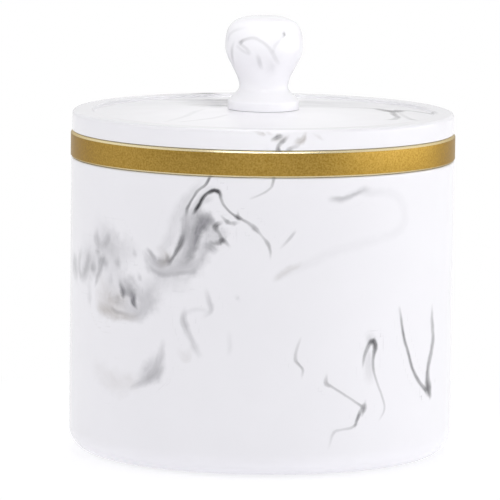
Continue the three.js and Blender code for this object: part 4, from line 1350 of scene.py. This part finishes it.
class SWABJAR_OT_stage(bpy.types.Operator):
    """Makes the pale floor, the soft lamps, the white surround and the camera"""

    bl_idname = "swab_jar.stage"
    bl_label = "Stage"

    def execute(self, context):
        settings = context.scene.swab_jar.stage
        context.scene.view_settings.view_transform = "Standard"
        self.surround(context.scene, settings)
        self.floor(settings)
        for name, (place, size) in LAMPS.items():
            self.lamp(name, place, size, getattr(settings, f"{name}_power"))
        self.snoot("knob", settings.knob_power)
        self.camera(context.scene, settings)
        return {"FINISHED"}

    def surround(self, scene, settings):
        """White where it is seen, dimmer at the horizon where it is mirrored, and an even soft light."""
        world = bpy.data.worlds.new("white_surround")
        world.use_nodes = True
        scene.world = world
        tree = world.node_tree
        tree.nodes.clear()
        path = add_node(tree, "ShaderNodeLightPath").outputs
        way = add_node(tree, "ShaderNodeTexCoord").outputs["Generated"]
        direction = add_node(tree, "ShaderNodeSeparateXYZ", {0: way}).outputs
        rising = add_node(tree, "ShaderNodeMapRange", {
            "Value": direction["Z"], "From Max": HORIZON_SINE, "To Min": HORIZON_WHITE},
            interpolation_type="SMOOTHSTEP")
        behind = add_node(tree, "ShaderNodeMapRange", {
            "Value": direction["Y"], "From Min": -FRONT_SINE, "From Max": FRONT_SINE, "To Min": settings.sky})
        white = add_node(tree, "ShaderNodeMath", {0: rising, 1: behind}, operation="MULTIPLY")
        mirrored = add_node(tree, "ShaderNodeMath", {
            0: path["Is Glossy Ray"], 1: white}, operation="MULTIPLY")
        shown = add_node(tree, "ShaderNodeMath", {
            0: path["Is Camera Ray"], 1: path["Is Transmission Ray"]}, operation="MAXIMUM")
        bright = add_node(tree, "ShaderNodeMath", {0: shown, 1: mirrored}, operation="MAXIMUM")
        dull = add_node(tree, "ShaderNodeMath", {0: 1.0, 1: path["Is Glossy Ray"]}, operation="SUBTRACT")
        soft = add_node(tree, "ShaderNodeMath", {0: dull, 1: settings.sky}, operation="MULTIPLY")
        level = add_node(tree, "ShaderNodeMath", {0: bright, 1: soft}, operation="MAXIMUM")
        light = add_node(tree, "ShaderNodeBackground", {"Color": WHITE, "Strength": level})
        add_node(tree, "ShaderNodeOutputWorld", {"Surface": light})

    def floor(self, settings):
        """A wide white floor that keeps the jar's soft shadow near it and melts into the white."""
        half = settings.floor_size / 2
        mesh = bpy.data.meshes.new("floor")
        corners = [(x * half, y * half, -FLOOR_DROP) for x, y in SQUARE]
        mesh.from_pydata(corners, [], [(0, 1, 2, 3)])
        floor = placed("floor", mesh)
        material, tree = blank_material("painted_board_matt")
        path = add_node(tree, "ShaderNodeLightPath").outputs
        where = add_node(tree, "ShaderNodeTexCoord").outputs["Object"]
        distance = add_node(tree, "ShaderNodeVectorMath", {0: where}, operation="LENGTH").outputs["Value"]
        glow = add_node(tree, "ShaderNodeMapRange", {
            "Value": distance, "From Min": GLOW_NEAR_REACH, "From Max": GLOW_FAR_REACH, "To Min": GLOW_NEAR})
        shown = add_node(tree, "ShaderNodeMath", {
            0: path["Is Camera Ray"], 1: path["Is Glossy Ray"]}, operation="MAXIMUM")
        seen = add_node(tree, "ShaderNodeMath", {
            0: shown, 1: path["Is Transmission Ray"]}, operation="MAXIMUM")
        amount = add_node(tree, "ShaderNodeMath", {0: seen, 1: glow}, operation="MULTIPLY")
        paint = add_node(tree, "ShaderNodeBsdfDiffuse", {"Color": settings.floor})
        white = add_node(tree, "ShaderNodeEmission", {"Color": WHITE, "Strength": 1.0})
        table = add_node(tree, "ShaderNodeEmission", {"Color": settings.floor, "Strength": TABLE_GLOW})
        lit = add_node(tree, "ShaderNodeAddShader", {0: paint, 1: table})
        surface = add_node(tree, "ShaderNodeMixShader", {0: amount, 1: lit, 2: white})
        add_node(tree, "ShaderNodeOutputMaterial", {"Surface": surface})
        mesh.materials.append(material)

    def lamp(self, name, place, size, power):
        """A soft lamp that faces the jar, with a size of millimetres across and up."""
        light = bpy.data.lights.new(name, "AREA")
        light.shape = "RECTANGLE"
        light.size = size[0] * MM
        light.size_y = size[1] * MM
        light.energy = power
        self.aim(light, place, AIM)

    def snoot(self, name, power):
        """A small round lamp whose snoot keeps its light to the knob and the lid in front of it."""
        light = bpy.data.lights.new(name, "SPOT")
        light.shadow_soft_size = SNOOT_SIZE * MM
        light.spot_size = SNOOT_ANGLE
        light.spot_blend = SNOOT_BLEND
        light.energy = power
        self.aim(light, SNOOT_PLACE, SNOOT_AIM)

    def aim(self, light, place, target):
        """Hangs a lamp in its place, faced at its target, and out of the camera's sight."""
        lamp = bpy.data.objects.new(light.name, light)
        lamp.location = Vector(place) * MM
        lamp.rotation_euler = (Vector(target) - Vector(place)).to_track_quat("-Z", "Y").to_euler()
        lamp.visible_camera = False
        bpy.context.scene.collection.objects.link(lamp)

    def camera(self, scene, settings):
        """A long lens, far off and a little above the lid, as in the photograph."""
        ahead = Vector((math.sin(CAMERA_YAW) * math.cos(CAMERA_PITCH),
                        math.cos(CAMERA_YAW) * math.cos(CAMERA_PITCH), -math.sin(CAMERA_PITCH)))
        level = Vector((math.cos(CAMERA_YAW), -math.sin(CAMERA_YAW), 0.0))
        upright = level.cross(ahead)
        right = level * math.cos(CAMERA_ROLL) + upright * math.sin(CAMERA_ROLL)
        up = upright * math.cos(CAMERA_ROLL) - level * math.sin(CAMERA_ROLL)
        data = bpy.data.cameras.new("camera")
        data.sensor_width = SENSOR_WIDTH
        data.lens = settings.lens / MM
        camera = bpy.data.objects.new("camera", data)
        camera.matrix_world = Matrix((
            (right.x, up.x, -ahead.x, CAMERA_PLACE[0] * MM),
            (right.y, up.y, -ahead.y, CAMERA_PLACE[1] * MM),
            (right.z, up.z, -ahead.z, CAMERA_PLACE[2] * MM),
            (0.0, 0.0, 0.0, 1.0)))
        scene.collection.objects.link(camera)
        scene.camera = camera


PIECES = (
    SWABJAR_OT_jar_body,
    SWABJAR_OT_gold_band,
    SWABJAR_OT_foot_pads,
    SWABJAR_OT_lid,
    SWABJAR_OT_seal_ring,
    SWABJAR_OT_knob,
    SWABJAR_OT_knob_insert,
    SWABJAR_OT_knob_screw,
    SWABJAR_OT_screw_washer,
    SWABJAR_OT_stage,
)


class SWABJAR_PT_panel(bpy.types.Panel):
    """Lists the settings and the pieces"""

    bl_idname = "SWABJAR_PT_panel"
    bl_label = "Swab jar"
    bl_space_type = "VIEW_3D"
    bl_region_type = "UI"
    bl_category = "Swab Jar"

    def draw(self, context):
        for part in ("jar", "lid", "knob", "fixings", "finish", "stage"):
            group = getattr(context.scene.swab_jar, part)
            box = self.layout.box()
            for name in group.bl_rna.properties.keys():
                if name not in ("rna_type", "name"):
                    box.prop(group, name)
        for operator in PIECES:
            self.layout.operator(operator.bl_idname)


CLASSES = (
    JarSettings,
    LidSettings,
    KnobSettings,
    FixingSettings,
    FinishSettings,
    StageSettings,
    SwabJarSettings,
    *PIECES,
    SWABJAR_PT_panel,
)


def register():
    """Adds the settings, the operators and the panel."""
    for kind in CLASSES:
        bpy.utils.register_class(kind)
    bpy.types.Scene.swab_jar = PointerProperty(
        name="Swab jar", description="Settings of the swab jar", type=SwabJarSettings)


def unregister():
    """Takes them away again."""
    del bpy.types.Scene.swab_jar
    for kind in reversed(CLASSES):
        bpy.utils.unregister_class(kind)


def main():
    """Makes every piece and the stage."""
    register()
    for operator in PIECES:
        name = operator.bl_idname.split(".")[1]
        getattr(bpy.ops.swab_jar, name)()


if __name__ == "__main__":
    main()
